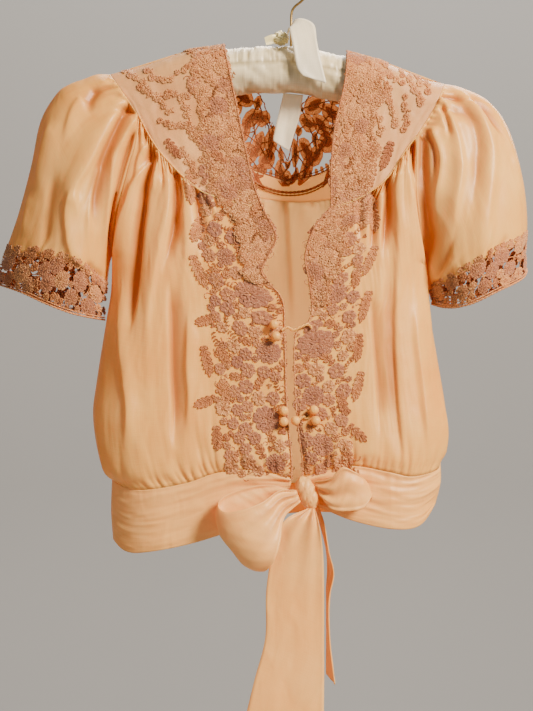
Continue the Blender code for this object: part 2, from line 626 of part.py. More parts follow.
def tie(name):
    """A soft ribbon of the bow, through the places of its two edges."""
    rows = TIES[name]
    first = smooth_line([r[0] for r in rows])
    second = smooth_line([r[1] for r in rows])
    along = np.linspace(0, 1, int(1.7 * len(rows)))
    a, b = at(first, along), at(second, along)
    grid = np.stack([(1 - w) * a + w * b for w in np.linspace(0, 1, 4)], axis=1)
    crease = np.array([0, 1, -0.7, 0]) * TIE_CREASE
    grid[..., 1] -= crease[None, :] * np.sin(np.pi * along)[:, None]
    sheet(name, grid, grid_normals(grid), CLOTH, "band")


def ball(name, centre, radius, material, segments=8, rings=6):
    bpy.ops.mesh.primitive_uv_sphere_add(segments=segments, ring_count=rings, radius=radius * MM,
                                         location=[c * MM for c in centre])
    ob = bpy.context.active_object
    ob.name = name
    ob.data.name = name
    for holder in list(ob.users_collection):
        holder.objects.unlink(ob)
    PIECES.objects.link(ob)
    ob.data.materials.append(MATERIALS[material])
    ob.data.shade_smooth()
    return ob


def tie_knot():
    """The short strap drawn tight round the middle of the bow."""
    ob = ball("tie_knot", KNOT_MIDDLE, 1.0, "band", 12, 9)
    ob.data.transform(Matrix.Diagonal((*KNOT_HALF, 1.0)))
    ob.rotation_euler = Euler((0, -math.radians(KNOT_TILT), 0))
    return ob


# button balls and frog cords: across and up; each sits on the lace below it
BUTTONS = [("button_1", -19, -388), ("button_2", -17, -400), ("button_3", -9, -477),
           ("button_4", -9, -488), ("button_5", 3, -487), ("button_6", 22, -476), ("button_7", 24, -487)]
FROGS = {"frog_upper": [(-11, -394), (-5, -391), (1, -394), (8, -391), (16, -388), (20, -392)],
         "frog_lower": [(7.2, -486), (11, -483), (15, -485), (17.8, -482)]}
FROG_WIRE = 1.4


def front_surface_depth(x, z):
    return float(cloth_depth(np.array([x, z], dtype=float), "front")) + SEAM + LIFT + LACE


def buttons():
    for name, x, z in BUTTONS:
        ball(name, (x, -(front_surface_depth(x, z) + BALL + 0.3), z), BALL, "silk")


def wire(name, points, radius, material, sides=2):
    """A cord or wire with round section and closed ends."""
    cu = bpy.data.curves.new(name, "CURVE")
    cu.dimensions = "3D"
    cu.bevel_depth = radius * MM
    cu.bevel_resolution = sides
    cu.use_fill_caps = True
    sp = cu.splines.new("POLY")
    sp.points.add(len(points) - 1)
    for p, co in zip(sp.points, points):
        p.co = (co[0] * MM, co[1] * MM, co[2] * MM, 1)
    ob = bpy.data.objects.new(name, cu)
    PIECES.objects.link(ob)
    cu.materials.append(MATERIALS[material])
    return ob


def frogs():
    for name, route in FROGS.items():
        line = smooth_line([(x, -(front_surface_depth(x, z) + FROG_WIRE + 0.4), z) for x, z in route])
        wire(name, at(line, np.linspace(0, 1, 9)), FROG_WIRE, "silk", 1)


BAR_LINE = [(-183, -146), (-149, -141), (-107, -127.5), (-70, -123), (-6, -120), (54, -130), (92, -138.5),
            (126, -152), (145, -158)]


def bar_radius(x):
    """The bar's pad is fullest under the neck and slims to its rounded ends."""
    return float(np.interp(x, [-183, -149, -100, 90, 120, 145], [19.5, 22.5, 25.0, 25.0, 22.5, 19.5]))


def hanger_bar():
    """The padded bar: rings along its line, under the shoulders just clear of the cloth."""
    line = smooth_line(BAR_LINE)
    rings = []
    for share in end_cluster(17):
        x, z = at(line, share)
        r = bar_radius(x)
        end = min(share, 1 - share) * line[1][-1]
        if x < SHOULDER["left"][-1][0] or x > SHOULDER["right"][0][0]:
            z = float(ridge_height(x)) - BAR_UNDER_CLOTH - r
        if end < r:
            r = math.sqrt(max(r * r - (r - end) ** 2, 0.5))
        rings.append((x, z, r))
    sides = 14
    points = []
    for x, z, r in rings:
        points += [(x, r * math.sin(2 * math.pi * k / sides), z + r * math.cos(2 * math.pi * k / sides))
                   for k in range(sides)]
    faces = [tuple(range(sides)), tuple(range(len(points) - sides, len(points)))[::-1]]
    for i in range(len(rings) - 1):
        for k in range(sides):
            n = (k + 1) % sides
            faces.append((i * sides + k, (i + 1) * sides + k, (i + 1) * sides + n, i * sides + n))
    mesh_object("hanger_bar", points, faces, "satin")


HOOK_RADIUS = 22.0


def hanger_hook():
    """Brass wire: up from the bar, a bend, and the open loop that the rail holds."""
    centre = (0.0, -HOOK_RADIUS + HOOK_WIRE)
    stem = [(-1, 0, -95.7), (-0.8, 0, -76), (-0.5, 0, -61), (2.5, 0, -54), (9, 0, -48.5), (15, 0, -42)]
    arc = [(centre[0] + HOOK_RADIUS * math.cos(a) * 1.0, 0, centre[1] + HOOK_RADIUS * math.sin(a))
           for a in np.radians(np.arange(-32, 218, 20))]
    wire("hanger_hook", stem + arc, HOOK_WIRE, "brass", 2)


RIBBON_KNOT_MIDDLE = (-11.3, -2.5, -87.3)
RIBBON_KNOT_HALF = (9.0, 9.5, 7.4)


def ribbon_knot():
    """The knot of the ribbon beside the hook's foot, resting on the bar."""
    ob = ball("ribbon_knot", RIBBON_KNOT_MIDDLE, 1.0, "ribbon", 10, 7)
    ob.data.transform(Matrix.Diagonal((*RIBBON_KNOT_HALF, 1.0)))


# cream ribbon tied round the hook's foot: places of its two edges (across, depth, up)
RIBBONS = {
    "ribbon_front": [((-5.1, -9.3, -89), (-5.1, -9.3, -85)), ((3, -14, -80), (13, -12, -71)),
                     ((5, -22, -77), (25, -20, -78)), ((5, -29, -87), (27, -29, -94)),
                     ((5, -32.0, -104), (30, -31.5, -112)), ((7, -32.5, -122), (35, -31.5, -134)),
                     ((11, -32.5, -130), (35, -31.5, -138))],
    "ribbon_back": [((-9, 12.4, -142.9), (12, 12.4, -145.0)), ((-14, 14, -165), (8, 14, -168)),
                    ((-19, 15, -186), (5, 15, -178)), ((-20, 15, -193), (-3, 15, -204))],
}


def ribbon(name):
    rows = RIBBONS[name]
    first = smooth_line([r[0] for r in rows])
    second = smooth_line([r[1] for r in rows])
    along = np.linspace(0, 1, 2 * len(rows))
    a, b = at(first, along), at(second, along)
    grid = np.stack([(1 - w) * a + w * b for w in (0, 0.5, 1)], axis=1)
    sheet(name, grid, grid_normals(grid), RIBBON, "ribbon")


def material(name, colour, roughness, metallic):
    mat = bpy.data.materials.new(name)
    mat.use_nodes = True
    shader = mat.node_tree.nodes["Principled BSDF"]
    shader.inputs["Base Color"].default_value = (*colour, 1)
    shader.inputs["Roughness"].default_value = roughness
    shader.inputs["Metallic"].default_value = metallic
    return mat


def build():
    for side in ("left", "right"):
        yoke(side)
        front_lace(side, *front(side))
        collar_lace(side)
        sleeve(side)
        cuff(side, "front")
        cuff(side, "back")
        waistband(side)
    back()
    back_yoke()
    back_neck_lace()
    waistband_back()
    for name in TIES:
        tie(name)
    tie_knot()
    buttons()
    frogs()
    hanger_bar()
    hanger_hook()
    ribbon_knot()
    for name in RIBBONS:
        ribbon(name)


for old in list(bpy.data.objects):
    bpy.data.objects.remove(old, do_unlink=True)
PIECES = bpy.data.collections.new("bed_jacket")
bpy.context.scene.collection.children.link(PIECES)
MATERIALS = {name: material(name, *values) for name, values in COLOURS.items()}
build()
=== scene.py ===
# %% [markdown]
# # A silk bed jacket on a padded hanger
# The jacket is peach silk, gathered into curved yokes, with corded lace at the neck, the front
# edges and the sleeve hems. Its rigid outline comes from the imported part. Each cell below cuts one
# piece of cloth, as a dressmaker would: an outline, how far it stands from the hanger, and then
# its folds. Outlines are in millimetres, across and up, as seen from the front.

import math

import bpy
import numpy as np
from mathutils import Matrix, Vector
from mathutils.bvhtree import BVHTree


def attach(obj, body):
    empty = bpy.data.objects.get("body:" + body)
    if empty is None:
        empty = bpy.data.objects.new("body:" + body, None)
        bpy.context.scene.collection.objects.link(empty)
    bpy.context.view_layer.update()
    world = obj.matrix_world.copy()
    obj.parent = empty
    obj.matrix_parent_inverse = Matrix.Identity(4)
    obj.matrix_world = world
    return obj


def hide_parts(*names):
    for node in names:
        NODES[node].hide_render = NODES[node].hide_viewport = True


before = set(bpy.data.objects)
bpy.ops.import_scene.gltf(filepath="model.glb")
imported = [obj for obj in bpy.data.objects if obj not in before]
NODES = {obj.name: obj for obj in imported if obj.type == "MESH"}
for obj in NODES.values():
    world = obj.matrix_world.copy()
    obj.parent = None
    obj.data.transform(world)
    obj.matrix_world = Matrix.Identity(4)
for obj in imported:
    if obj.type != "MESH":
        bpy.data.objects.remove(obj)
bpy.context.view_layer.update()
MM = 0.001
SIDES = ("left", "right")
print("CAD nodes:", len(NODES))

# %% [markdown]
# ## Camera and studio
# The photograph looks at the jacket from the front and level. How far away it was taken is a guess,
# 2.4 m. The camera's angle takes in 747 mm from top to bottom at the hanger. The backdrop is one
# swept sheet, so that no line shows where the wall meets the floor. It stands far enough back for
# the jacket to be seen from behind.

# %% Camera
SHOT_CENTRE = Vector((-0.0268, 0.0, -0.4200))
SHOT_DISTANCE = 2.4
SHOT_HEIGHT = 0.747

camera = bpy.data.objects.new("camera", bpy.data.cameras.new("camera"))
bpy.context.scene.collection.objects.link(camera)
camera.location = SHOT_CENTRE + Vector((0, -SHOT_DISTANCE, 0))
camera.rotation_euler = (math.pi / 2, 0, 0)
camera.data.sensor_fit = "VERTICAL"
camera.data.angle_y = 2 * math.atan(SHOT_HEIGHT / 2 / SHOT_DISTANCE)
bpy.context.scene.camera = camera

# %% Colour and node helpers


def linear(code):
    """An sRGB hex colour as linear numbers."""
    parts = [int(code[i:i + 2], 16) / 255 for i in (1, 3, 5)]
    return tuple(c / 12.92 if c <= 0.04045 else ((c + 0.055) / 1.055) ** 2.4 for c in parts) + (1.0,)


def add(tree, kind, values=None, links=None):
    """Adds a node, sets its sockets and settings, and links its inputs."""
    node = tree.nodes.new(kind)
    for key, value in (values or {}).items():
        if isinstance(key, int) or key in node.inputs:
            node.inputs[key].default_value = value
        else:
            setattr(node, key, value)
    for key, socket in (links or {}).items():
        tree.links.new(socket, node.inputs[key])
    return node


def new_material(name):
    """An empty material, its tree and its output node."""
    mat = bpy.data.materials.new(name)
    mat.use_nodes = True
    tree = mat.node_tree
    tree.nodes.clear()
    return mat, tree, tree.nodes.new("ShaderNodeOutputMaterial")


# %% Backdrop
SWEEP = [(-4.6, -1.9), (2.7, -1.9), (3.5, -1.78), (4.0, -1.4), (4.22, -0.8), (4.25, 4.2)]
SWEEP_HALF = 6.5

mat, tree, out = new_material("painted_backdrop")
place = add(tree, "ShaderNodeTexCoord")
cloud = add(tree, "ShaderNodeTexNoise", {"Scale": 0.9, "Detail": 3.0}, {"Vector": place.outputs["Object"]})
tint = add(tree, "ShaderNodeMix", {"data_type": "RGBA", 6: linear("#9C9A97"), 7: linear("#A6A4A1")},
           {"Factor": cloud.outputs["Fac"]})
paint = add(tree, "ShaderNodeBsdfPrincipled", {"Roughness": 0.95}, {"Base Color": tint.outputs[2]})
tree.links.new(paint.outputs[0], out.inputs[0])

rows = [(y, z) for y, z in SWEEP]
verts = [(x, y, z) for y, z in rows for x in (-SWEEP_HALF, SWEEP_HALF)]
me = bpy.data.meshes.new("backdrop")
me.from_pydata(verts, [], [(2 * i, 2 * i + 1, 2 * i + 3, 2 * i + 2) for i in range(len(rows) - 1)])
me.materials.append(mat)
me.shade_smooth()
backdrop = bpy.data.objects.new("backdrop", me)
bpy.context.scene.collection.objects.link(backdrop)

# %% [markdown]
# A large soft light stands high at the right, as in the photograph: the right sleeve is bright and
# the left one falls into shade. A weak light fills from the left, and one lights the backdrop.

# %% Lights


def soft_light(name, place, target, size, watts, colour):
    data = bpy.data.lights.new(name, "AREA")
    data.shape = "SQUARE"
    data.size = size
    data.energy = watts
    data.color = linear(colour)[:3]
    ob = bpy.data.objects.new(name, data)
    ob.location = place
    ob.rotation_euler = (Vector(target) - Vector(place)).to_track_quat("-Z", "Y").to_euler()
    bpy.context.scene.collection.objects.link(ob)


soft_light("key", (1.8, -1.85, 1.1), (0, 0, -0.35), 0.75, 262, "#FFF1DE")
soft_light("fill", (-2.2, -2.2, 0.1), (0, 0, -0.4), 2.4, 18, "#FAF6FF")
soft_light("glow", (0.5, 1.7, 0.9), (0, 0, -0.35), 1.6, 80, "#FFF4E8")
soft_light("wall_light", (0.4, 2.3, 3.1), (0, 4.2, -0.9), 2.4, 185, "#FFFBF6")
world = bpy.data.worlds.new("studio")
world.use_nodes = True
world.node_tree.nodes["Background"].inputs["Color"].default_value = linear("#E4E2E0")
world.node_tree.nodes["Background"].inputs["Strength"].default_value = 0.22
bpy.context.scene.world = world

# %% [markdown]
# ## Silk
# Habotai silk is a plain weave of very even threads. It lets light through, so its folds glow: the
# shade inside a fold is a strong orange, not grey. A Principled shader gives the soft gloss, and a
# Translucent shader mixed into it gives the glow. The threads are 0.1 mm apart, too fine to show,
# so the weave is drawn about ten times as coarse, as faint slubs along and across the cloth. The
# bottoms of the folds are also painted a deeper orange, as painted shade: each cloth piece carries
# an attribute that says how deep in a fold a place lies, and the material darkens the silk by it.

# %% Silk materials


def slubs(tree, coords, along_mm, across_mm, seed):
    """Thick places in the threads: noise drawn out along one way of the cloth."""
    spread = add(tree, "ShaderNodeMapping", {"Scale": (1000 / across_mm, 1000 / along_mm, 1.0),
                                             "Location": (seed, 0, 0)}, {"Vector": coords})
    return add(tree, "ShaderNodeTexNoise", {"Scale": 1.0, "Detail": 2.0, "Roughness": 0.6},
               {"Vector": spread.outputs[0]})


def woven_silk(name, light, deep, glow, gloss, through, alpha=1.0, sheen=0.08, painted_fold_shade_colour="#A85618"):
    """Plain woven silk: two close colours in soft clouds, slubs, light that comes through, and painted shade
    deep in the folds.
    """
    mat, tree, out = new_material(name)
    coords = add(tree, "ShaderNodeTexCoord")
    clouds = add(tree, "ShaderNodeTexNoise", {"Scale": 14.0, "Detail": 4.0, "Roughness": 0.55},
                 {"Vector": coords.outputs["Object"]})
    warp = slubs(tree, coords.outputs["UV"], 26.0, 0.9, 0)
    weft = slubs(tree, coords.outputs["UV"], 0.9, 19.0, 7)
    threads = add(tree, "ShaderNodeMath", {"operation": "ADD"},
                  {0: warp.outputs["Fac"], 1: weft.outputs["Fac"]})
    mixed = add(tree, "ShaderNodeMath", {"operation": "MULTIPLY_ADD", 1: 0.50},
                {0: threads.outputs[0], 2: clouds.outputs["Fac"]})
    spread = add(tree, "ShaderNodeMapRange", {"From Min": 0.7, "From Max": 1.3}, {"Value": mixed.outputs[0]})
    colour = add(tree, "ShaderNodeMix", {"data_type": "RGBA", 6: linear(deep), 7: linear(light)},
                 {"Factor": spread.outputs[0]})
    drawn = add(tree, "ShaderNodeMapping", {"Scale": (1.0, 1.0, 0.45)}, {"Vector": coords.outputs["Object"]})
    crease = add(tree, "ShaderNodeTexNoise",
                 {"noise_type": "RIDGED_MULTIFRACTAL", "Scale": 48.0, "Detail": 3.0, "Distortion": 0.9},
                 {"Vector": drawn.outputs[0]})
    small = add(tree, "ShaderNodeBump", {"Strength": 0.65, "Distance": 0.0015},
                {"Height": crease.outputs["Fac"]})
    weave = add(tree, "ShaderNodeBump", {"Strength": 0.34, "Distance": 0.0003},
                {"Height": threads.outputs[0], "Normal": small.outputs[0]})
    # Painted shade: the silk is mixed towards the fold colour by how deep in a fold each place lies.
    painted_fold_shade = add(tree, "ShaderNodeAttribute", {"attribute_name": "painted_fold_shade"})
    colour = add(tree, "ShaderNodeMix", {"data_type": "RGBA", 7: linear(painted_fold_shade_colour)},
                 {"Factor": painted_fold_shade.outputs["Fac"], 6: colour.outputs[2]})
    cloth = add(tree, "ShaderNodeBsdfPrincipled",
                {"Roughness": gloss, "IOR": 1.5, "Sheen Weight": sheen, "Sheen Roughness": 0.35,
                 "Sheen Tint": linear("#FFD9A8"), "Alpha": alpha},
                {"Base Color": colour.outputs[2], "Normal": weave.outputs[0]})
    lit = add(tree, "ShaderNodeBsdfTranslucent", {"Color": linear(glow)}, {"Normal": weave.outputs[0]})
    both = add(tree, "ShaderNodeMixShader", {0: through}, {1: cloth.outputs[0], 2: lit.outputs[0]})
    tree.links.new(both.outputs[0] if through else cloth.outputs[0], out.inputs[0])
    return mat


SILK = woven_silk("habotai_silk_peach", "#FFD676", "#F4B654", "#FAB850", 0.40, 0.40)
# Painted light: the back panel's silk is a paler copy of the fronts', so that the inside of the back looks
# lit.
BACK_SILK_PAINTED_LIGHT = woven_silk("habotai_silk_back_painted_light", "#FFDC9C", "#F6CA86", "#FFE6B4", 0.42, 0.58)
BAND_SILK = woven_silk("habotai_silk_band", "#FFD27E", "#FABC62", "#FFBA58", 0.44, 0.34)
SHEER_SILK = woven_silk("silk_chiffon_yoke", "#EAB272", "#D4945A", "#F0A468", 0.45, 0.0, alpha=0.66)
# Painted light: the back yoke's chiffon is a paler copy of the front yokes', so that the inside of the back
# looks lit.
BACK_SHEER_PAINTED_LIGHT = woven_silk("silk_chiffon_back_yoke_painted_light", "#FAD08C", "#F0BC74", "#FFDCA0", 0.45, 0.50)
HANGER_SATIN = woven_silk("silk_satin_ivory", "#EADCB8", "#CDB88A", "#EADFC4", 0.36, 0.0, sheen=0.15,
                          painted_fold_shade_colour="#8E7A50")
RIBBON_SATIN = woven_silk("satin_ribbon_cream", "#F8F0DC", "#EADFC0", "#F2E6C8", 0.36, 0.25, sheen=0.15)
# Painted shade: the knot is the same cream ribbon as the ends, in a darker copy of its satin.
KNOT_SATIN_PAINTED_SHADE = woven_silk("satin_ribbon_knot_painted_shade", "#E8DCA8", "#CFC084", "#EFE6CE", 0.36, 0.0, sheen=0.15)

# %% [markdown]
# ## Lace
# The lace is rayon cord, chain-stitched into flowers and leaves, and dyed rose, mauve and brown.
# The pale specks where the cord's twists catch the light, and the dark holes between them, are
# painted: a painted highlight on the raised thread and painted shade in the holes. Every petal is its
# own small domed patch with a number for its dye, kept in a colour attribute: red is the dye, green
# the height within the petal, which sets the painted shade and highlight, and blue a chance tone.
# The specks are cells 1.3 mm across.

# %% Lace materials


def corded_lace(name, dyes, painted_hole_shade_colour, light, through=0.0):
    """Chain-stitched cord: the dye by petal, with painted shade at the holes and a painted highlight on the
    raised thread.
    """
    mat, tree, out = new_material(name)
    coords = add(tree, "ShaderNodeTexCoord")
    attribute = add(tree, "ShaderNodeAttribute", {"attribute_name": "dye"})
    parts = add(tree, "ShaderNodeSeparateColor", None, {"Color": attribute.outputs["Color"]})
    ramp = add(tree, "ShaderNodeValToRGB", None, {"Fac": parts.outputs[0]})
    ramp.color_ramp.elements[0].color = linear(dyes[0])
    ramp.color_ramp.elements[1].color = linear(dyes[-1])
    for i, dye in enumerate(dyes[1:-1]):
        step = ramp.color_ramp.elements.new((i + 1) / (len(dyes) - 1))
        step.color = linear(dye)
    stitch = add(tree, "ShaderNodeTexVoronoi", {"Scale": 760.0, "Randomness": 0.9},
                 {"Vector": coords.outputs["Object"]})
    raised = add(tree, "ShaderNodeMath", {"operation": "MULTIPLY_ADD", 1: -1.5, 2: 1.15},
                 {0: stitch.outputs["Distance"]})
    height = add(tree, "ShaderNodeMath", {"operation": "MULTIPLY"},
                 {0: raised.outputs[0], 1: parts.outputs[1]})
    # Painted shade: the low places of the cord, in the holes, are mixed towards the dark colour.
    painted_shade_amount = add(tree, "ShaderNodeMapRange",
                {"From Min": 0.05, "From Max": 0.85, "To Min": 0.25, "To Max": 1.0},
                {"Value": height.outputs[0]})
    low = add(tree, "ShaderNodeMix", {"data_type": "RGBA", 6: linear(painted_hole_shade_colour)},
              {"Factor": painted_shade_amount.outputs[0], 7: ramp.outputs[0]})
    # Painted highlight: the highest places of the raised thread are mixed towards the light colour.
    painted_glint = add(tree, "ShaderNodeMapRange", {"From Min": 0.60, "From Max": 1.10, "To Max": 0.75},
                {"Value": height.outputs[0]})
    colour = add(tree, "ShaderNodeMix", {"data_type": "RGBA", 7: linear(light)},
                 {"Factor": painted_glint.outputs[0], 6: low.outputs[2]})
    bump = add(tree, "ShaderNodeBump", {"Strength": 0.6, "Distance": 0.0006}, {"Height": raised.outputs[0]})
    cord = add(tree, "ShaderNodeBsdfPrincipled", {"Roughness": 0.72, "IOR": 1.5, "Sheen Weight": 0.2},
               {"Base Color": colour.outputs[2], "Normal": bump.outputs[0]})
    lit = add(tree, "ShaderNodeBsdfTranslucent", None,
              {"Color": colour.outputs[2], "Normal": bump.outputs[0]})
    both = add(tree, "ShaderNodeMixShader", {0: through}, {1: cord.outputs[0], 2: lit.outputs[0]})
    tree.links.new(both.outputs[0] if through else cord.outputs[0], out.inputs[0])
    return mat


DYES = ["#A65C26", "#DE8E46", "#FFB86A", "#D08C58", "#B27858"]
# Painted light in the lace: the dark colour is painted shade in the holes, the light one a painted highlight
# on the raised cord.
LACE = corded_lace("rayon_cord_lace", DYES, "#7C3A16", "#FFDDA8")
# The back lace's tones are its dye pushed towards rust, partly its own dye and partly a painted glow of light
# coming through it; its dark and light colours are painted shade and a painted highlight.
BACK_DYES_AND_PAINTED_GLOW = ["#C26C32", "#DC8A48", "#CC7C4C"]
BACK_LACE = corded_lace("rayon_cord_lace_backlit", BACK_DYES_AND_PAINTED_GLOW, "#8E481E", "#ECB07C", 0.45)

# %% [markdown]
# The hook is brass wire. Polished brass keeps the default IOR, is fully metallic and is a little
# rough from handling.

# %% Brass
mat, tree, out = new_material("polished_brass")
coords = add(tree, "ShaderNodeTexCoord")
wear = add(tree, "ShaderNodeTexNoise", {"Scale": 240.0, "Detail": 3.0}, {"Vector": coords.outputs["Object"]})
gold = add(tree, "ShaderNodeMix", {"data_type": "RGBA", 6: linear("#9A7440"), 7: linear("#D8B46C")},
           {"Factor": wear.outputs["Fac"]})
rough = add(tree, "ShaderNodeMapRange", {"To Min": 0.22, "To Max": 0.38}, {"Value": wear.outputs["Fac"]})
brass = add(tree, "ShaderNodeBsdfPrincipled", {"Metallic": 1.0},
            {"Base Color": gold.outputs[2], "Roughness": rough.outputs[0]})
tree.links.new(brass.outputs[0], out.inputs[0])
BRASS = mat
print("materials:", len(bpy.data.materials))

# %% [markdown]
# ## The pattern of the jacket
# These outlines are the same named lines as the part's, seen from the front.

# %% Outlines
CLOTH = 1.0             # wall of the silk, a little less than the solid's
SEAM = 0.25
DRAPE_RADIUS = 28.5     # the cloth's bend over the padded bar
SIDE_ROUND = 60.0       # how far from a side the body keeps curving
SHOULDER = {"left": [(-191, -125), (-170, -120), (-149, -114), (-107, -99), (-72, -94)],
            "right": [(58, -101), (92, -110), (126, -125), (140, -131), (160, -135)]}
YOKE_OUTER = {"left": [(-191, -125), (-175, -148), (-160, -170)],
              "right": [(160, -135), (147, -163), (129, -192)]}
YOKE_SEAM = {"left": [(-160, -170), (-146, -196), (-132, -215), (-106, -241), (-83, -255), (-30, -269)],
             "right": [(129, -192), (117, -208), (99, -235), (83, -249), (61, -261), (40, -267)]}
ARMHOLE = {"left": [(-160, -170), (-163, -199), (-171, -227), (-180, -262), (-186, -293), (-189, -314)],
           "right": [(129, -192), (128, -244), (132, -284), (138, -322)]}
SIDE = {"left": [(-189, -314), (-190, -351), (-195, -383), (-205, -446), (-209, -485), (-201, -533),
                 (-189, -550)],
        "right": [(138, -322), (142, -362), (151, -414), (162, -482), (161, -513), (156, -532)]}
NECK = {"left": [(-72, -94), (-60, -150), (-50, -199), (-40, -243), (-30, -269)],
        "right": [(58, -101), (54, -138), (44, -183), (40, -225), (40, -267)]}
FRONT_EDGE = {"left": [(-30, -269), (-17, -297), (-25, -317), (-32, -333), (-24, -345), (-10, -364),
                       (-8, -400), (-6, -470), (-1, -526), (-1, -546)],
              "right": [(40, -267), (23, -287), (13, -317), (17, -343), (20, -368), (17, -384),
                        (3, -400), (2, -445), (5, -490), (10, -528), (10, -546)]}
WAIST = {"left": [(-189, -550), (-168, -558), (-145, -558), (-108, -551), (-78, -541), (-43, -538),
                  (-1, -546)],
         "right": [(10, -546), (57, -534), (98, -540), (123, -545), (149, -540), (156, -532)]}
BAND_SIDE = {"left": [(-189, -550), (-190, -582), (-188, -612)],
             "right": [(156, -532), (156, -553), (151, -574)]}
BAND_BOTTOM = {"left": [(-188, -612), (-173, -623), (-150, -623), (-97, -612), (-40, -592), (-3, -572)],
               "right": [(10, -571), (29, -577), (61, -590), (103, -599), (132, -596), (151, -574)]}
SLEEVE_OUTER = {"left": [(-191, -125), (-205, -125), (-219, -130), (-233, -135), (-247, -145),
                         (-264, -174), (-274, -221), (-287, -270), (-300, -308), (-307, -330),
                         (-307, -346)],
                "right": [(160, -135), (178, -139), (206, -153), (227, -182), (242, -233),
                          (247, -278), (245, -310), (246, -331)]}
HEM = {"left": [(-307, -346), (-280, -355), (-253, -367), (-226, -377), (-197, -383)],
       "right": [(246, -331), (238, -341), (211, -354), (183, -367), (163, -369), (147, -366)]}
BACK_NECK = {"left": [(-72, -94), (-50, -120), (-30, -148), (-21, -176), (-4, -212)],
             "right": [(-4, -212), (0, -192), (7, -161), (14, -148), (58, -101)]}
BACK_LACE_EDGE = {"left": [(-112, -100), (-88, -152), (-58, -212), (-4, -236)],
                  "right": [(-4, -236), (44, -218), (76, -157), (96, -111)]}
BACK_YOKE_SEAM = [(-160, -170), (-146, -190), (-118, -216), (-62, -245), (0, -256), (60, -250),
                  (98, -231), (118, -210), (129, -192)]
BACK_WAIST = [(-189, -550), (-100, -554), (0, -556), (100, -546), (156, -532)]
BACK_BAND_BOTTOM = [(-188, -612), (-160, -620), (-90, -606), (0, -588), (70, -589), (132, -595),
                    (151, -574)]
FRONT_DEPTH = [(28, 28.5), (90, 33), (170, 40), (300, 45), (460, 46), (560, 44)]
BACK_DEPTH = [(28, 28.5), (90, 30), (170, 34), (300, 38), (460, 38), (560, 37)]

# %% [markdown]
# A piece of cloth is stretched between four of these lines: that is a Coons patch. It has one place
# for every share across and every share down, so folds can be drawn on it in the cloth's own terms.

# %% Lines and patches


def smooth_line(points, steps=14):
    """A curve through the points, as a dense line with its running length."""
    p = np.array(points, dtype=float)
    p = np.vstack([2 * p[0] - p[1], p, 2 * p[-1] - p[-2]])
    t = np.linspace(0, 1, steps, endpoint=False)[:, None]
    dense = []
    for a, b, c, d in zip(p[:-3], p[1:-2], p[2:-1], p[3:]):
        dense.append(0.5 * (2 * b + (c - a) * t + (2 * a - 5 * b + 4 * c - d) * t ** 2
                            + (3 * b - a - 3 * c + d) * t ** 3))
    dense = np.vstack(dense + [p[-2:-1]])
    run = np.concatenate([[0], np.cumsum(np.linalg.norm(np.diff(dense, axis=0), axis=1))])
    return dense, run


def join(*curves):
    """One line of several curves laid end to end, with the corners between them kept."""
    dense = np.vstack([smooth_line(c)[0] for c in curves])
    keep = np.concatenate([[True], np.linalg.norm(np.diff(dense, axis=0), axis=1) > 1e-6])
    dense = dense[keep]
    run = np.concatenate([[0], np.cumsum(np.linalg.norm(np.diff(dense, axis=0), axis=1))])
    return dense, run


def at(line, share):
    """Points at the given shares of a line's length."""
    dense, run = line
    s = np.asarray(share, dtype=float) * run[-1]
    return np.stack([np.interp(s, run, dense[:, k]) for k in range(dense.shape[1])], axis=-1)


def coons(top, bottom, left, right, u, v):
    """The patch inside four lines; u runs left to right and v top to bottom, both as grids."""
    across = (1 - v)[..., None] * at(top, u) + v[..., None] * at(bottom, u)
    down = (1 - u)[..., None] * at(left, v) + u[..., None] * at(right, v)
    corner = ((1 - u) * (1 - v))[..., None] * at(top, 0) + (u * (1 - v))[..., None] * at(top, 1) \
        + ((1 - u) * v)[..., None] * at(bottom, 0) + (u * v)[..., None] * at(bottom, 1)
    return across + down - corner


RIDGE = np.array(SHOULDER["left"] + SHOULDER["right"], dtype=float)
SIDE_LINE = {s: join(ARMHOLE[s], SIDE[s], BAND_SIDE[s])[0] for s in SIDES}
CENTRE = 5.0


def ease(t):
    """Rises smoothly from 0 to 1."""
    t = np.clip(t, 0, 1)
    return t * t * (3 - 2 * t)


def ridge_height(x):
    return np.interp(x, RIDGE[:, 0], RIDGE[:, 1])


def cloth_depth(xz, face):
    """How far the body's cloth stands from the hanger plane at points seen from the front."""
    x = xz[..., 0]
    z = xz[..., 1]
    table = np.array(FRONT_DEPTH if face == "front" else BACK_DEPTH)
    drop = ridge_height(x) - z
    over_bar = np.sqrt(np.clip(DRAPE_RADIUS ** 2 - np.clip(DRAPE_RADIUS - drop, 0, None) ** 2, 0, None))
    full = np.where(drop < DRAPE_RADIUS, over_bar, np.interp(drop, table[:, 0], table[:, 1]))
    depth = np.empty_like(full)
    for side, sign in (("left", 1), ("right", -1)):
        line = SIDE_LINE[side]
        edge = np.interp(-z, -line[:, 1], line[:, 0])
        inward = np.clip(sign * (x - edge) / SIDE_ROUND, 0, 1)
        top, under = ARMHOLE[side][0][1], ARMHOLE[side][-1][1]
        down = np.clip((top - z) / (top - under), 0, None)
        open_share = np.sqrt(1 - np.clip(down, 0, 1) ** 2)
        softer = np.where(down < 0.85, open_share, 0.527 * ease((1.22 - down) / 0.50) / 0.8385)
        open_share = open_share + (softer - open_share) * ease(inward / 0.3)
        factor = open_share + (1 - open_share) * np.sqrt(inward * (2 - inward))
        mine = x <= CENTRE if side == "left" else x > CENTRE
        depth = np.where(mine, full * factor, depth)
    return depth


def on_body(xz, face):
    """Points of the body's surface."""
    y = (-1 if face == "front" else 1) * (cloth_depth(xz, face) + SEAM)
    return np.stack([xz[..., 0], y, xz[..., 1]], axis=-1)


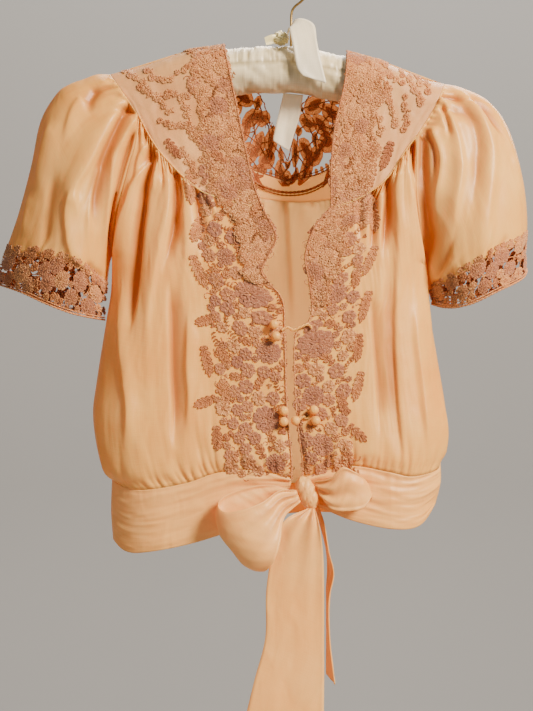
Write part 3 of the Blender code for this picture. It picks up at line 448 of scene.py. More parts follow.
def body_normals(xz, face):
    """Unit normals out of the body's surface."""
    step = 0.5
    slope_x = (cloth_depth(xz + (step, 0), face) - cloth_depth(xz - (step, 0), face)) / (2 * step)
    slope_z = (cloth_depth(xz + (0, step), face) - cloth_depth(xz - (0, step), face)) / (2 * step)
    level = np.where(cloth_depth(xz, face) < 0.5, 0.02, 1.0)
    n = np.stack([-slope_x, (-1 if face == "front" else 1) * level, -slope_z], axis=-1)
    return n / np.linalg.norm(n, axis=-1, keepdims=True)


# %% [markdown]
# ## Folds
# Cloth that is gathered into a seam starts in short sharp pleats. Some of them run together into a
# few long folds, and between these the cloth is only softly rumpled. The long folds are placed from
# the photograph. The short ones are scattered with a fixed seed, each with its own
# height, length and lean, so that no two are alike.

# %% Fold helpers


def rumple(x, y, seed):
    """Smooth chance heights, from about -1 to 1, over a plane of unit cells."""
    lattice = np.random.default_rng(seed).uniform(-1, 1, (64, 64))
    i, j = np.floor(x).astype(int), np.floor(y).astype(int)
    fx, fy = ease(x - i), ease(y - j)
    i, j = i % 64, j % 64
    k, m = (i + 1) % 64, (j + 1) % 64
    return (lattice[i, j] * (1 - fx) + lattice[k, j] * fx) * (1 - fy) \
        + (lattice[i, m] * (1 - fx) + lattice[k, m] * fx) * fy


def crumple(x, y, seed, across=14.0, along=42.0, height=0.7):
    """Soft uneven creases, longer down the cloth than across it; x and y in mm."""
    bend_x = x + 7 * rumple(x / 60, y / 60, seed + 1)
    bend_y = y + 9 * rumple(x / 50, y / 50, seed + 2)
    broad = rumple(bend_x / across, bend_y / along, seed + 3)
    fine = rumple(bend_x / across * 2.3, bend_y / along * 2.1, seed + 4)
    sharp = 1 - 2 * np.abs(rumple(bend_x / across * 0.8, bend_y / along * 0.7, seed + 5))
    return height * (0.55 * broad + 0.25 * fine + 0.35 * sharp)


def pleats(x, y, first, last, pitch, reach, height, seed, narrow=(0.20, 0.34)):
    """Short pleats below a gathered seam at y = 0, from first to last along it."""
    chance = np.random.default_rng(seed)
    count = max(int((last - first) / pitch), 1)
    total = np.zeros_like(x)
    for i in range(count):
        middle = first + (i + 0.5 + chance.uniform(-0.32, 0.32)) * pitch
        run = reach * chance.lognormal(0, 0.55)
        half = pitch * chance.uniform(*narrow)
        lean = chance.normal(0, 0.10)
        rise = height * chance.uniform(0.45, 1.25)
        wander = chance.uniform(0.3, 1.0) * np.sin(y / chance.uniform(14, 30) + chance.uniform(0, 6))
        wide = half * (1 + 1.6 * y / run)
        t = (x - middle - lean * y - wander) / wide
        total -= rise * np.exp(-np.abs(t) ** 1.5) * ease(y / 2.0) * ease(1 - y / (run * 1.6))
    return total


def puffs(x, y, first, last, pitch, reach, height, seed):
    """Pinched gathers right at a seam: round puffs, with narrow deep valleys between them."""
    within = ease((x - first) / 4) * ease((last - x) / 4)
    round_up = height * 0.55 * ease(y / 3.0) * np.exp(-(y / (0.9 * reach)) ** 1.5) * within
    return round_up + pleats(x, y, first, last, pitch, reach, height, seed, (0.18, 0.28))


def creases(flat, rows, shift=(0.0, 0.0), size_by=1.0):
    """Long folds along listed lines: (points, mm out, reach to its left, to its right as it
    runs down, share over which it starts, share over which it fades). One side is usually steep."""
    x, z = flat[..., 0].ravel() - shift[0], flat[..., 1].ravel() - shift[1]
    total = np.zeros_like(x)
    for points, size, left, right, start, end in rows:
        dense, run = smooth_line(points, 12)
        away = np.hypot(x[:, None] - dense[None, :, 0], z[:, None] - dense[None, :, 1])
        near = away.argmin(axis=1)
        tangent = np.gradient(dense, axis=0)
        tangent = (tangent / np.linalg.norm(tangent, axis=1, keepdims=True))[near]
        out_x, out_z = x - dense[near, 0], z - dense[near, 1]
        side = tangent[:, 0] * out_z - tangent[:, 1] * out_x
        share = np.clip((run[near] + tangent[:, 0] * out_x + tangent[:, 1] * out_z) / run[-1], 0, 1)
        ends = (near == 0) | (near == len(dense) - 1)
        t = np.where(ends, away.min(axis=1), np.abs(side)) / np.where(side < 0, left, right)
        fade_in = ease(share / start) if start else 1.0
        total += 1.2 * size * size_by * np.exp(-t ** 1.8) * fade_in * ease((1 - share) / end)
    return total.reshape(flat.shape[:-1])


# %% [markdown]
# Every cloth piece is built the same way: a grid of places, moved along the surface's normals by
# the height of its folds, and then given a thin wall. The grid also keeps its own measures across
# and down as texture coordinates, so that the weave follows the cloth.

# %% Cloth helpers


def mesh_piece(name, points, faces, materials, uv=None):
    """A smooth mesh from points in mm, riding on the jacket's one body."""
    me = bpy.data.meshes.new(name)
    me.from_pydata((np.asarray(points) * MM).tolist(), [], faces)
    if uv is not None:
        layer = me.uv_layers.new(name="cloth")
        corner = np.empty(len(me.loops), dtype=np.int32)
        me.loops.foreach_get("vertex_index", corner)
        layer.uv.foreach_set("vector", (np.asarray(uv)[corner] * MM).astype(np.float32).ravel())
    for mat in materials:
        me.materials.append(mat)
    me.shade_smooth()
    ob = bpy.data.objects.new(name, me)
    bpy.context.scene.collection.objects.link(ob)
    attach(ob, "root")
    return ob


def grid_faces(rows, cols, start=0):
    r, c = np.meshgrid(np.arange(rows - 1), np.arange(cols - 1), indexing="ij")
    first = start + r * cols + c
    return np.stack([first, first + 1, first + cols + 1, first + cols], axis=-1).reshape(-1, 4)


def walled(name, grid, normals, wall, materials, uv, painted_fold_shade=None):
    """A closed thin wall. The inner face lies one wall in, with every second point, and a rim
    joins the two; rows and columns are odd in number."""
    rows, cols = grid.shape[:2]
    count = rows * cols
    inner = (grid - normals * wall)[::2, ::2]
    inner_cols = inner.shape[1]
    ring = np.concatenate([np.arange(cols), np.arange(1, rows) * cols + cols - 1,
                           (rows - 1) * cols + np.arange(cols - 2, -1, -1),
                           np.arange(rows - 2, 0, -1) * cols])

    def below(i):
        return count + (i // cols) // 2 * inner_cols + (i % cols) // 2

    first, middle, last = ring[::2], ring[1::2], np.roll(ring[::2], -1)
    rim = np.stack([last, middle, first, below(first), below(last)], axis=-1).tolist()
    faces = grid_faces(rows, cols).tolist() + grid_faces(*inner.shape[:2], count)[:, ::-1].tolist() + rim
    a, b, d = grid[0, 0], grid[0, 1], grid[1, 0]
    if np.dot(np.cross(b - a, d - a), normals[0, 0]) < 0:
        faces = [face[::-1] for face in faces]
    points = np.vstack([grid.reshape(-1, 3), inner.reshape(-1, 3)])
    both_uv = np.vstack([uv.reshape(-1, 2), uv[::2, ::2].reshape(-1, 2)])
    ob = mesh_piece(name, points, faces, materials, both_uv)
    # The amount of painted fold shade is kept as a point attribute on both faces.
    if painted_fold_shade is not None:
        layer = ob.data.attributes.new("painted_fold_shade", "FLOAT", "POINT")
        both = np.concatenate([painted_fold_shade.ravel(), painted_fold_shade[::2, ::2].ravel()])
        layer.data.foreach_set("value", both.astype(np.float32))
    return ob


def painted_fold_shade_amount(heights):
    """How much painted shade each place gets, from 0 to 1, more the deeper it lies in a fold, from the height
    of its folds in mm.
    """
    return 0.74 * np.clip((-heights - 0.3) / 4.6, 0, 1) ** 0.9


def cloth_area(ob):
    """The cloth in a walled piece, in square metres."""
    return sum(p.area for p in ob.data.polygons) / 2


# %% [markdown]
# ## Fronts
# Each front is gathered into its yoke from the armhole to the lace, and again a little into the
# waistband. The deepest folds hang straight down from the seam and fade above the waist.

# %% Fronts
MAIN_FOLDS = {
    "front_left": [
        ([(-149, -221), (-153, -227), (-165, -242), (-172, -262), (-180, -286),
          (-185, -309), (-189, -351), (-193, -393)], 4.5, 3.5, 13, 0.0, 0.5),
        ([(-143, -213), (-151, -242), (-154, -267), (-157, -292), (-161, -333),
          (-165, -367), (-171, -409)], -8.5, 7.5, 3.0, 0.0, 0.35),
        ([(-126, -229), (-129, -271), (-138, -309), (-144, -342), (-149, -375),
          (-150, -409), (-152, -456)], 3.6, 10, 4.0, 0.05, 0.6),
        ([(-121, -233), (-121, -258), (-122, -284), (-127, -309), (-135, -346)], -7.0, 3.5, 7.0, 0.0, 0.6),
        ([(-114, -238), (-113, -267), (-110, -292), (-111, -328), (-116, -372)], 2.6, 4.5, 11, 0.0, 0.6),
        ([(-153, -204), (-159, -215), (-162, -232), (-164, -246)], 2.2, 2.6, 4, 0.0, 0.6),
        ([(-139, -220), (-143, -236), (-146, -257)], 2.4, 2.2, 4, 0.0, 0.6),
        ([(-99, -253), (-98, -272), (-93, -299), (-92, -335)], -3.0, 3.5, 6, 0.0, 0.7),
        ([(-178, -340), (-179, -393), (-175, -435), (-170, -477), (-172, -520)], 3.4, 3, 10, 0.3, 0.2),
        ([(-127, -330), (-124, -389), (-123, -440), (-121, -477), (-122, -522)], -4.2, 3.2, 9, 0.25, 0.25),
        ([(-106, -360), (-109, -425), (-107, -467), (-111, -515)], 2.8, 3, 10, 0.3, 0.3),
    ],
    "front_right": [
        ([(127, -204), (130, -225), (132, -240), (131, -257)], -9.0, 6, 4, 0.0, 0.45),
        ([(112, -213), (122, -234), (127, -257), (132, -299), (138, -338),
          (143, -383), (151, -425)], 4.5, 14, 5, 0.02, 0.35),
        ([(97, -234), (99, -253), (98, -271), (96, -293), (93, -322)], -8.0, 3.0, 6.0, 0.0, 0.5),
        ([(103, -230), (107, -257), (109, -283), (108, -330),
          (106, -383), (105, -425)], 3.8, 5, 10, 0.02, 0.5),
        ([(104, -309), (104, -351), (104, -404), (106, -456),
          (109, -498), (113, -532)], -3.4, 9, 2.4, 0.25, 0.15),
        ([(82, -248), (84, -267), (83, -295), (81, -322)], -5.5, 3, 4.5, 0.0, 0.6),
        ([(117, -204), (119, -215), (123, -227)], 2.6, 2.5, 4, 0.0, 0.6),
        ([(69, -257), (69, -280), (71, -307)], -3.5, 2.5, 4, 0.0, 0.7),
        ([(124, -350), (128, -404), (134, -456), (139, -520)], 3.4, 3.2, 9, 0.3, 0.25),
        ([(80, -341), (84, -393), (88, -446), (90, -515)], -3.4, 3, 8, 0.3, 0.25),
    ],
    "sleeve_left": [
        ([(-172, -157), (-181, -169), (-189, -185), (-198, -200), (-204, -213), (-212, -228),
          (-223, -248), (-223, -265), (-220, -280)], 5.5, 15, 3.2, 0.0, 0.25),
        ([(-170, -161), (-180, -180), (-188, -200), (-195, -221), (-201, -246),
          (-204, -269), (-205, -295)], -6.0, 6, 7, 0.0, 0.35),
        ([(-166, -177), (-177, -198), (-185, -215), (-189, -248), (-193, -279),
          (-195, -309), (-194, -328)], 3.2, 2.6, 5, 0.0, 0.3),
        ([(-198, -222), (-205, -250), (-209, -268), (-211, -292), (-212, -312)], 2.2, 2.4, 3.5, 0.1, 0.3),
        ([(-161, -196), (-166, -215), (-170, -235), (-176, -257), (-181, -280),
          (-186, -305), (-190, -322)], -8.0, 7, 3.0, 0.0, 0.3),
        ([(-225, -248), (-232, -269), (-232, -292), (-227, -317), (-212, -341)], 3.4, 3, 9, 0.15, 0.3),
        ([(-218, -150), (-227, -164), (-233, -183), (-237, -204)], 2.4, 3, 9, 0.1, 0.5),
        ([(-206, -145), (-210, -158), (-209, -173)], -3.0, 4, 5, 0.0, 0.5),
        ([(-249, -173), (-258, -199), (-264, -230), (-267, -262)], 2.6, 4, 10, 0.2, 0.5),
        ([(-244, -225), (-250, -257), (-254, -290), (-258, -316)], -2.6, 5, 7, 0.3, 0.3),
        ([(-272, -246), (-277, -272), (-281, -299)], 2.0, 3, 6, 0.3, 0.3),
        ([(-214, -322), (-205, -332), (-193, -342)], -2.4, 2.4, 4, 0.3, 0.3),
    ],
    "sleeve_right": [
        ([(133, -196), (132, -217), (133, -238), (135, -267),
          (139, -304), (141, -335)], -6.0, 4.5, 9, 0.0, 0.3),
        ([(145, -190), (153, -213), (152, -233), (148, -255), (147, -280)], 2.6, 3, 5, 0.0, 0.45),
        ([(138, -187), (145, -204), (146, -225), (143, -246)], -2.8, 2.6, 3.5, 0.0, 0.5),
        ([(174, -139), (187, -156), (198, -178), (205, -199), (206, -225),
          (202, -257), (195, -309), (187, -337)], 4.6, 12, 6, 0.0, 0.25),
        ([(167, -143), (178, -160), (189, -181), (193, -206),
          (189, -246), (183, -293)], -4.2, 7, 6, 0.0, 0.4),
        ([(182, -145), (200, -164), (213, -183), (225, -200)], -3.6, 3, 5, 0.0, 0.5),
        ([(195, -143), (214, -164), (227, -194), (234, -225), (236, -262)], 3.4, 4, 9, 0.1, 0.5),
        ([(158, -158), (165, -177), (172, -200), (174, -230),
          (168, -269), (162, -309)], 3.4, 8, 4, 0.0, 0.4),
        ([(156, -164), (161, -181), (163, -200)], -4.0, 2.4, 3, 0.0, 0.6),
        ([(226, -212), (238, -233), (244, -267)], 1.6, 2, 4, 0.3, 0.4),
        ([(207, -271), (201, -302), (191, -328), (180, -343)], 2.0, 2.4, 5, 0.4, 0.3),
        ([(144, -354), (154, -330), (164, -304), (168, -283)], -2.6, 3, 5, 0.05, 0.6),
        ([(145, -344), (162, -328), (181, -306)], 1.8, 2.2, 4, 0.1, 0.6),
        ([(223, -293), (214, -309), (202, -322)], -1.8, 2.6, 4, 0.3, 0.4),
    ],
    "back": [
        ([(-149, -215), (-153, -246), (-160, -288), (-164, -341), (-167, -393)], -7.0, 3.5, 7, 0.0, 0.5),
        ([(-130, -232), (-132, -267), (-139, -320), (-141, -383), (-139, -435)], 4.2, 4, 12, 0.0, 0.5),
        ([(-111, -242), (-110, -278), (-113, -322), (-118, -362)], -7.5, 7, 3.2, 0.0, 0.5),
        ([(-82, -250), (-83, -299), (-80, -351), (-82, -414), (-84, -467)], 4.0, 11, 4.5, 0.0, 0.5),
        ([(-59, -255), (-57, -295), (-59, -341)], -6.0, 3.2, 6, 0.0, 0.6),
        ([(-32, -259), (-32, -309), (-36, -372), (-34, -425)], 3.6, 4, 10, 0.02, 0.5),
        ([(-8, -261), (-6, -309), (-3, -362), (-2, -404)], -6.5, 6.5, 3, 0.0, 0.5),
        ([(21, -261), (22, -309), (25, -362)], 3.8, 9, 4, 0.02, 0.5),
        ([(44, -257), (47, -299), (54, -351), (57, -404)], -7.5, 3, 7, 0.0, 0.45),
        ([(67, -250), (71, -295), (78, -351), (82, -414), (84, -467)], 4.2, 5, 12, 0.0, 0.5),
        ([(90, -240), (97, -278), (103, -324), (105, -362)], -6.0, 6, 3, 0.0, 0.5),
        ([(113, -221), (120, -257), (126, -309), (132, -362), (139, -414)], 4.0, 10, 4, 0.0, 0.5),
        ([(-97, -393), (-90, -446), (-94, -498)], -2.0, 4, 8, 0.4, 0.4),
        ([(8, -414), (13, -467), (8, -519)], 2.0, 4, 10, 0.4, 0.4),
        ([(101, -425), (105, -467), (103, -519)], -2.0, 7, 4, 0.4, 0.4),
    ],
}
FRONT_SIZE = (190.0, 290.0)
FRONT_GRID = (125, 175)


def from_seam(count):
    """Shares from 0 to 1, close together near 0, where the gathers are."""
    t = np.linspace(0, 1, count)
    return 0.45 * t + 0.55 * t ** 2


def folds_of_front(name, flat, u, v, seed):
    """How far each place of a front stands out from the body's smooth form, in mm."""
    x, y = u * FRONT_SIZE[0], v * FRONT_SIZE[1]
    gathered = puffs(x, y, 2, 0.68 * FRONT_SIZE[0], 5.6, 14, 5.4, seed)
    gathered += pleats(x, y, 0, 0.60 * FRONT_SIZE[0], 13, 48, 1.5, seed + 1)
    tucked = puffs(x, FRONT_SIZE[1] - y, 2, 0.95 * FRONT_SIZE[0], 7.0, 15, 3.2, seed + 2)
    loose = 0.35 + 0.65 * ease((0.75 - u) / 0.3)
    soft = crumple(x, y, seed + 3, 26, 90, 1.3) + crumple(x, y, seed + 5, 7, 34, 0.55)
    blouse = 3.5 * ease((v - 0.70) / 0.2) * ease((1 - v) / 0.05)
    edge = ease(np.minimum(u, 1 - u) * 26) * ease((1 - v) * 60) * ease(v * 130)
    return (creases(flat, MAIN_FOLDS[name]) + soft * loose + gathered + tucked + blouse) * edge


def front(side):
    name = "front_" + side
    top = smooth_line(YOKE_SEAM[side])
    bottom = smooth_line(WAIST[side] if side == "left" else WAIST[side][::-1])
    outer = join(ARMHOLE[side], SIDE[side])
    edge = smooth_line(FRONT_EDGE[side])
    u, v = np.meshgrid(np.linspace(0, 1, FRONT_GRID[1]), from_seam(FRONT_GRID[0]))
    flat = coons(top, bottom, outer, edge, u, v)
    normals = body_normals(flat, "front")
    heights = folds_of_front(name, flat, u, v, 11 if side == "left" else 31)
    grid = on_body(flat, "front") + normals * heights[..., None]
    uv = np.stack([u * FRONT_SIZE[0], v * FRONT_SIZE[1]], axis=-1)
    ob = walled(name + "_silk", grid, normals, CLOTH, [SILK], uv, painted_fold_shade_amount(heights))
    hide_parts(name)
    return ob


FRONTS = {side: front(side) for side in SIDES}
print("front cloth, m2:", [round(cloth_area(ob), 4) for ob in FRONTS.values()])

# %% [markdown]
# ## Back
# The back panel is one piece, gathered into the back yoke over its whole width.

# %% Back panel
BACK_SIZE = (345.0, 300.0)


def back():
    top = smooth_line(BACK_YOKE_SEAM)
    bottom = smooth_line(BACK_WAIST)
    left = join(ARMHOLE["left"], SIDE["left"])
    right = join(ARMHOLE["right"], SIDE["right"])
    u, v = np.meshgrid(np.linspace(0, 1, 225), from_seam(107))
    flat = coons(top, bottom, left, right, u, v)
    normals = body_normals(flat, "back")
    x, y = u * BACK_SIZE[0], v * BACK_SIZE[1]
    gathered = puffs(x, y, 5, BACK_SIZE[0] - 5, 6.6, 12, 4.2, 51)
    gathered += pleats(x, y, 8, BACK_SIZE[0] - 8, 15, 50, 1.5, 52)
    tucked = puffs(x, BACK_SIZE[1] - y, 5, BACK_SIZE[0] - 5, 7.5, 14, 3.0, 53)
    soft = crumple(x, y, 54, 28, 90, 1.3) + crumple(x, y, 56, 7, 34, 0.5)
    blouse = 3.5 * ease((v - 0.72) / 0.2) * ease((1 - v) / 0.05)
    edge = ease(np.minimum(u, 1 - u) * 40) * ease((1 - v) * 60) * ease(v * 130)
    heights = (creases(flat, MAIN_FOLDS["back"]) + soft + gathered + tucked + blouse) * edge
    grid = on_body(flat, "back") + normals * heights[..., None]
    # The back is painted with half the fold shade of the fronts.
    ob = walled("back_silk", grid, normals, CLOTH, [BACK_SILK_PAINTED_LIGHT], np.stack([x, y], axis=-1),
                0.5 * painted_fold_shade_amount(heights))
    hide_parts("back")
    return ob


BACK = back()

# %% [markdown]
# ## Yokes
# The yokes are sheer silk, smooth over the padded bar. The material lets a little of what is
# behind show through, so the ivory hanger makes them paler at the shoulders. A fine piping is sewn
# along the gathered seam. It is a thin tube that follows the seam.

# %% Yokes


def tube(points, radius, sides=6):
    """Points and faces of a tube through the points; radius in mm, or one radius for each point."""
    p = np.asarray(points, dtype=float)
    along = np.gradient(p, axis=0)
    along /= np.maximum(np.linalg.norm(along, axis=1, keepdims=True), 1e-9)
    guide = np.where(np.abs(along[:, 1:2]) < 0.9, (0.0, 1.0, 0.0), (1.0, 0.0, 0.0))
    side = np.cross(along, guide)
    side /= np.linalg.norm(side, axis=1, keepdims=True)
    up = np.cross(side, along)
    r = np.broadcast_to(np.asarray(radius, dtype=float), (len(p),))
    turn = np.linspace(0, 2 * np.pi, sides, endpoint=False)
    rings = p[:, None] + r[:, None, None] * (np.cos(turn)[None, :, None] * side[:, None]
                                             + np.sin(turn)[None, :, None] * up[:, None])
    i, k = np.meshgrid(np.arange(len(p) - 1), np.arange(sides), indexing="ij")
    n = (k + 1) % sides
    faces = np.stack([i * sides + k, i * sides + n, (i + 1) * sides + n, (i + 1) * sides + k],
                     axis=-1).reshape(-1, 4).tolist()
    faces += [list(range(sides)), list(range(len(p) * sides - 1, len(p) * sides - sides - 1, -1))]
    return rings.reshape(-1, 3), faces


def rope(points, radius, twist_mm=4.4, depth=0.24, sides=6):
    """A twisted cord: a tube whose section has two strands that turn along it."""
    p = np.asarray(points, dtype=float)
    run = np.concatenate([[0], np.cumsum(np.linalg.norm(np.diff(p, axis=0), axis=1))])
    steps = max(int(run[-1] / 1.1), 4)
    s = np.linspace(0, run[-1], steps)
    dense = np.stack([np.interp(s, run, p[:, k]) for k in range(3)], axis=1)
    rings, faces = tube(dense, 1.0, sides)
    rings = rings.reshape(steps, sides, 3)
    phase = np.linspace(0, 2 * np.pi, sides, endpoint=False)[None] * 2 + (2 * np.pi * s / twist_mm)[:, None]
    size = radius * (1 + depth * np.cos(phase))
    rings = dense[:, None] + (rings - dense[:, None]) * size[..., None]
    return rings.reshape(-1, 3), faces


def merged(parts):
    """One list of points and faces from several."""
    points, faces, count = [], [], 0
    for p, f in parts:
        points.append(p)
        faces += [[i + count for i in face] for face in f]
        count += len(p)
    return np.vstack(points), faces


def yoke(side):
    top = smooth_line(SHOULDER[side] if side == "right" else SHOULDER[side][::-1])
    bottom = smooth_line(YOKE_SEAM[side][::-1])
    neck = smooth_line(NECK[side])
    outer = smooth_line(YOKE_OUTER[side])
    length = neck[1][-1]
    bend = DRAPE_RADIUS * (1 - np.cos(np.linspace(0, np.pi / 2, 22))) / length
    rows_down = np.concatenate([bend, np.linspace(bend[-1], 1, 60)[1:]])
    u, v = np.meshgrid(np.linspace(0, 1, 71), rows_down)
    flat = coons(top, bottom, neck, outer, u, v)
    flat[0, :, 1] = ridge_height(flat[0, :, 0])
    normals = body_normals(flat, "front")
    x, y = u * 110, v * length
    heights = crumple(x, y, 71 if side == "left" else 72, 14, 40, 1.1)
    heights += pleats(x, (1 - v) * length, 4, 106, 8, 14, 0.9, 73)
    heights *= ease(np.minimum(u, 1 - u) * 14) * ease((1 - v) * 16) * ease(v * 20)
    grid = on_body(flat, "front") + normals * heights[..., None]
    # The yokes' shallow folds are painted with fold shade as if two and a half times as deep.
    ob = walled("yoke_" + side + "_silk", grid, normals, CLOTH, [SHEER_SILK], np.stack([x, y], axis=-1),
                painted_fold_shade_amount(2.5 * heights))
    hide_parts("yoke_" + side)
    return ob


def back_strip(inner, outer, a, b):
    """Places on a strip of the back between two lines, its ends on the shoulder ridge."""
    flat = (1 - b)[..., None] * at(inner, a) + b[..., None] * at(outer, a)
    at_ridge = (a < 1e-6) | (a > 1 - 1e-6)
    flat[..., 1] = np.where(at_ridge, ridge_height(flat[..., 0]), flat[..., 1])
    return flat


def end_cluster(count):
    """Shares from 0 to 1, close together at both ends."""
    return (1 - np.cos(np.linspace(0, np.pi, count))) / 2


def back_yoke():
    inner = join(BACK_LACE_EDGE["left"], BACK_LACE_EDGE["right"])
    outer = join(YOKE_OUTER["left"], BACK_YOKE_SEAM, YOKE_OUTER["right"][::-1])
    a, b = np.meshgrid(end_cluster(151), np.linspace(0, 1, 35))
    flat = back_strip(inner, outer, a, b)
    normals = body_normals(flat, "back")
    x, y = a * 460, b * 60
    edge = ease(np.minimum(a, 1 - a) * 12) * ease(np.minimum(b, 1 - b) * 6)
    heights = crumple(x, y, 81, 24, 20, 0.45) * edge
    grid = on_body(flat, "back") + normals * heights[..., None]
    ob = walled("back_yoke_silk", grid, normals, CLOTH, [BACK_SHEER_PAINTED_LIGHT], np.stack([x, y], axis=-1))
    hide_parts("back_yoke")
    return ob


YOKES = {side: yoke(side) for side in SIDES}
BACK_YOKE = back_yoke()


def piping(name, flat_line, face, radius=0.75):
    """A fine corded piping along a seam of the body."""
    line = at(flat_line, np.linspace(0, 1, 150))
    points = on_body(line, face) + body_normals(line, face) * 0.45
    p, f = rope(points, radius)
    ob = mesh_piece(name, p, f, [SILK], np.zeros((len(p), 2)))
    return ob


PIPING = {side: piping("yoke_piping_" + side, smooth_line(YOKE_SEAM[side]), "front") for side in SIDES}
PIPING["back"] = piping("yoke_piping_back", smooth_line(BACK_YOKE_SEAM), "back")
print("yoke cloth, m2:", [round(cloth_area(ob), 4) for ob in YOKES.values()], round(cloth_area(BACK_YOKE), 4))

# %% [markdown]
# ## Sleeves
# A puffed sleeve is cut much fuller than the arm, gathered into the armhole and the yoke, and held
# in by its lace hem. It goes round in one piece from the underarm seam, so its grid does too. The
# puff comes from an arch that is widest in the middle, and its folds fan out from the cap.

# %% Sleeve surface
SLEEVE_HEM_DEPTH = 40.0
SLEEVE_BULGE = 17.0
CUFF_FROM = {"left": (0.865, 0.52), "right": (0.83, 0.66)}


def sleeve_surface(side, s, v):
    """Places on the sleeve: s runs from -1, under the arm behind, through 0, the outer line, to 1,
    under the arm in front, and v from the cap to the hem."""
    toward = -1 if side == "left" else 1
    share = np.abs(s)
    cap = join(YOKE_OUTER[side], ARMHOLE[side])
    hem = smooth_line(HEM[side])
    outer = smooth_line(SLEEVE_OUTER[side])
    under = ARMHOLE[side][-1]
    inner = smooth_line([under, (under[0] + 3 * toward, under[1] - 22), HEM[side][-1]])
    flat = coons(cap, hem, outer, inner, share, v)
    cap_flat = at(cap, share)
    cap_depth = np.where(s > 0, cloth_depth(cap_flat, "front"), cloth_depth(cap_flat, "back"))
    arch = np.sin(np.pi * np.clip(share, 0, 1)) ** 0.65
    depth = (1 - v) * cap_depth + v * SLEEVE_HEM_DEPTH * arch + SEAM
    depth = depth + SLEEVE_BULGE * arch * np.sin(np.pi * np.clip(v, 0, 1)) ** 0.75
    clear = 0.9 * share * np.clip(v * 8, 0, 1)
    return np.stack([flat[..., 0] + toward * clear, -np.sign(s) * depth, flat[..., 1]], axis=-1)


def sleeve_normals(side, s, v):
    """Unit normals out of the sleeve, level with the outline at the underarm seam."""
    ds, dv = 0.004, 0.004
    near, far = np.clip(np.abs(s) - ds, 1e-4, 1), np.clip(np.abs(s) + ds, 1e-4, 1)
    sign = np.sign(s)
    along = sleeve_surface(side, sign * far, v) - sleeve_surface(side, sign * near, v)
    low, high = np.clip(v - dv, 0.001, 1), np.clip(v + dv, 0.001, 1)
    down = sleeve_surface(side, s, high) - sleeve_surface(side, s, low)
    n = np.cross(along, down)
    n /= np.maximum(np.linalg.norm(n, axis=-1, keepdims=True), 1e-9)
    outward_y = np.where(s > 0, -1, 1)
    n = np.where((n[..., 1] * outward_y < 0)[..., None], -n, n)
    at_edge = ((np.abs(s) < 1e-3) | (np.abs(s) > 1 - 1e-3))[..., None]
    n = np.where(at_edge, n * (1, 0.02, 1), n)
    return n / np.maximum(np.linalg.norm(n, axis=-1, keepdims=True), 1e-9)


def cuff_line(side, share):
    start, end = CUFF_FROM[side]
    return start + (end - start) * share ** 1.4


def cap_length(share):
    """About how long the sleeve is from cap to hem."""
    return 230 - 165 * share


# %% Sleeves
SLEEVE_HALF = 140.0     # from the outer line to the underarm seam, across the cloth
CAP_SHARE = 0.27        # how much of that is gathered into the yoke


def sleeve(side):
    around = np.linspace(-1, 1, 213)
    around = np.sign(around) * np.abs(around) ** 1.35
    s, w = np.meshgrid(around, from_seam(109))
    share = np.abs(s)
    v = w * cuff_line(side, share)
    s_safe = np.where(share < 1e-4, 1e-4, s)
    normals = sleeve_normals(side, s_safe, v)
    x, y = share * SLEEVE_HALF, w * cap_length(share) * cuff_line(side, share)
    seed = 91 if side == "left" else 111
    plain = sleeve_surface(side, s_safe, v)
    flat = plain[..., (0, 2)]
    heights = np.zeros_like(x)
    for face, shift, moved, size in ((1, 0, (0.0, 0.0), 1.0), (-1, 7, (3.0, -6.0), 0.8)):
        mine = (s * face > 0) | ((s == 0) & (face > 0))
        cap = CAP_SHARE * SLEEVE_HALF + 3
        h = creases(flat, MAIN_FOLDS["sleeve_" + side], moved, size)
        h += (puffs(x, y, 1, cap, 4.6, 10, 4.4, seed + shift)
              + pleats(x, y, 0, cap + 6, 8, 46, 2.6, seed + 1 + shift))
        h += crumple(x, y, seed + 2 + shift, 24, 80, 1.0) + crumple(x, y, seed + 4 + shift, 9, 24, 0.40)
        h += puffs(x, (1 - w) * 160, 4, 0.92 * SLEEVE_HALF, 7.5, 10, 1.5, seed + 3 + shift)
        heights = np.where(mine, h, heights)
    heights *= ease(share * 16) * ease((1 - share) * 18) * ease(w * 110) * ease((1 - w) * 40)
    grid = plain + normals * heights[..., None]
    uv = np.stack([x * np.sign(s), y], axis=-1)
    ob = walled("sleeve_" + side + "_silk", grid, normals, CLOTH, [SILK], uv, painted_fold_shade_amount(heights))
    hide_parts("sleeve_" + side)
    return ob


SLEEVES = {side: sleeve(side) for side in SIDES}
print("sleeve cloth, m2:", [round(cloth_area(ob), 4) for ob in SLEEVES.values()])

# %% [markdown]
# ## Waistband
# The band is a straight strip, wide and doubled, and slightly pinker than the body. It is drawn
# tight towards the bow, so its creases run along it, nearly level, and gather at the knot.

# %% Waistband


def band_folds(x, y, toward_knot, seed):
    """Fine level creases that crowd together towards the knot."""
    level = crumple(y, x, seed, 8, 60, 1.6) + crumple(y, x, seed + 4, 3.4, 26, 0.7)
    drawn = 1.6 * np.sin(y / 4.2 + 1.5 * rumple(x / 30, y / 12, seed + 9)) * ease((toward_knot - 0.55) / 0.45)
    return level + drawn


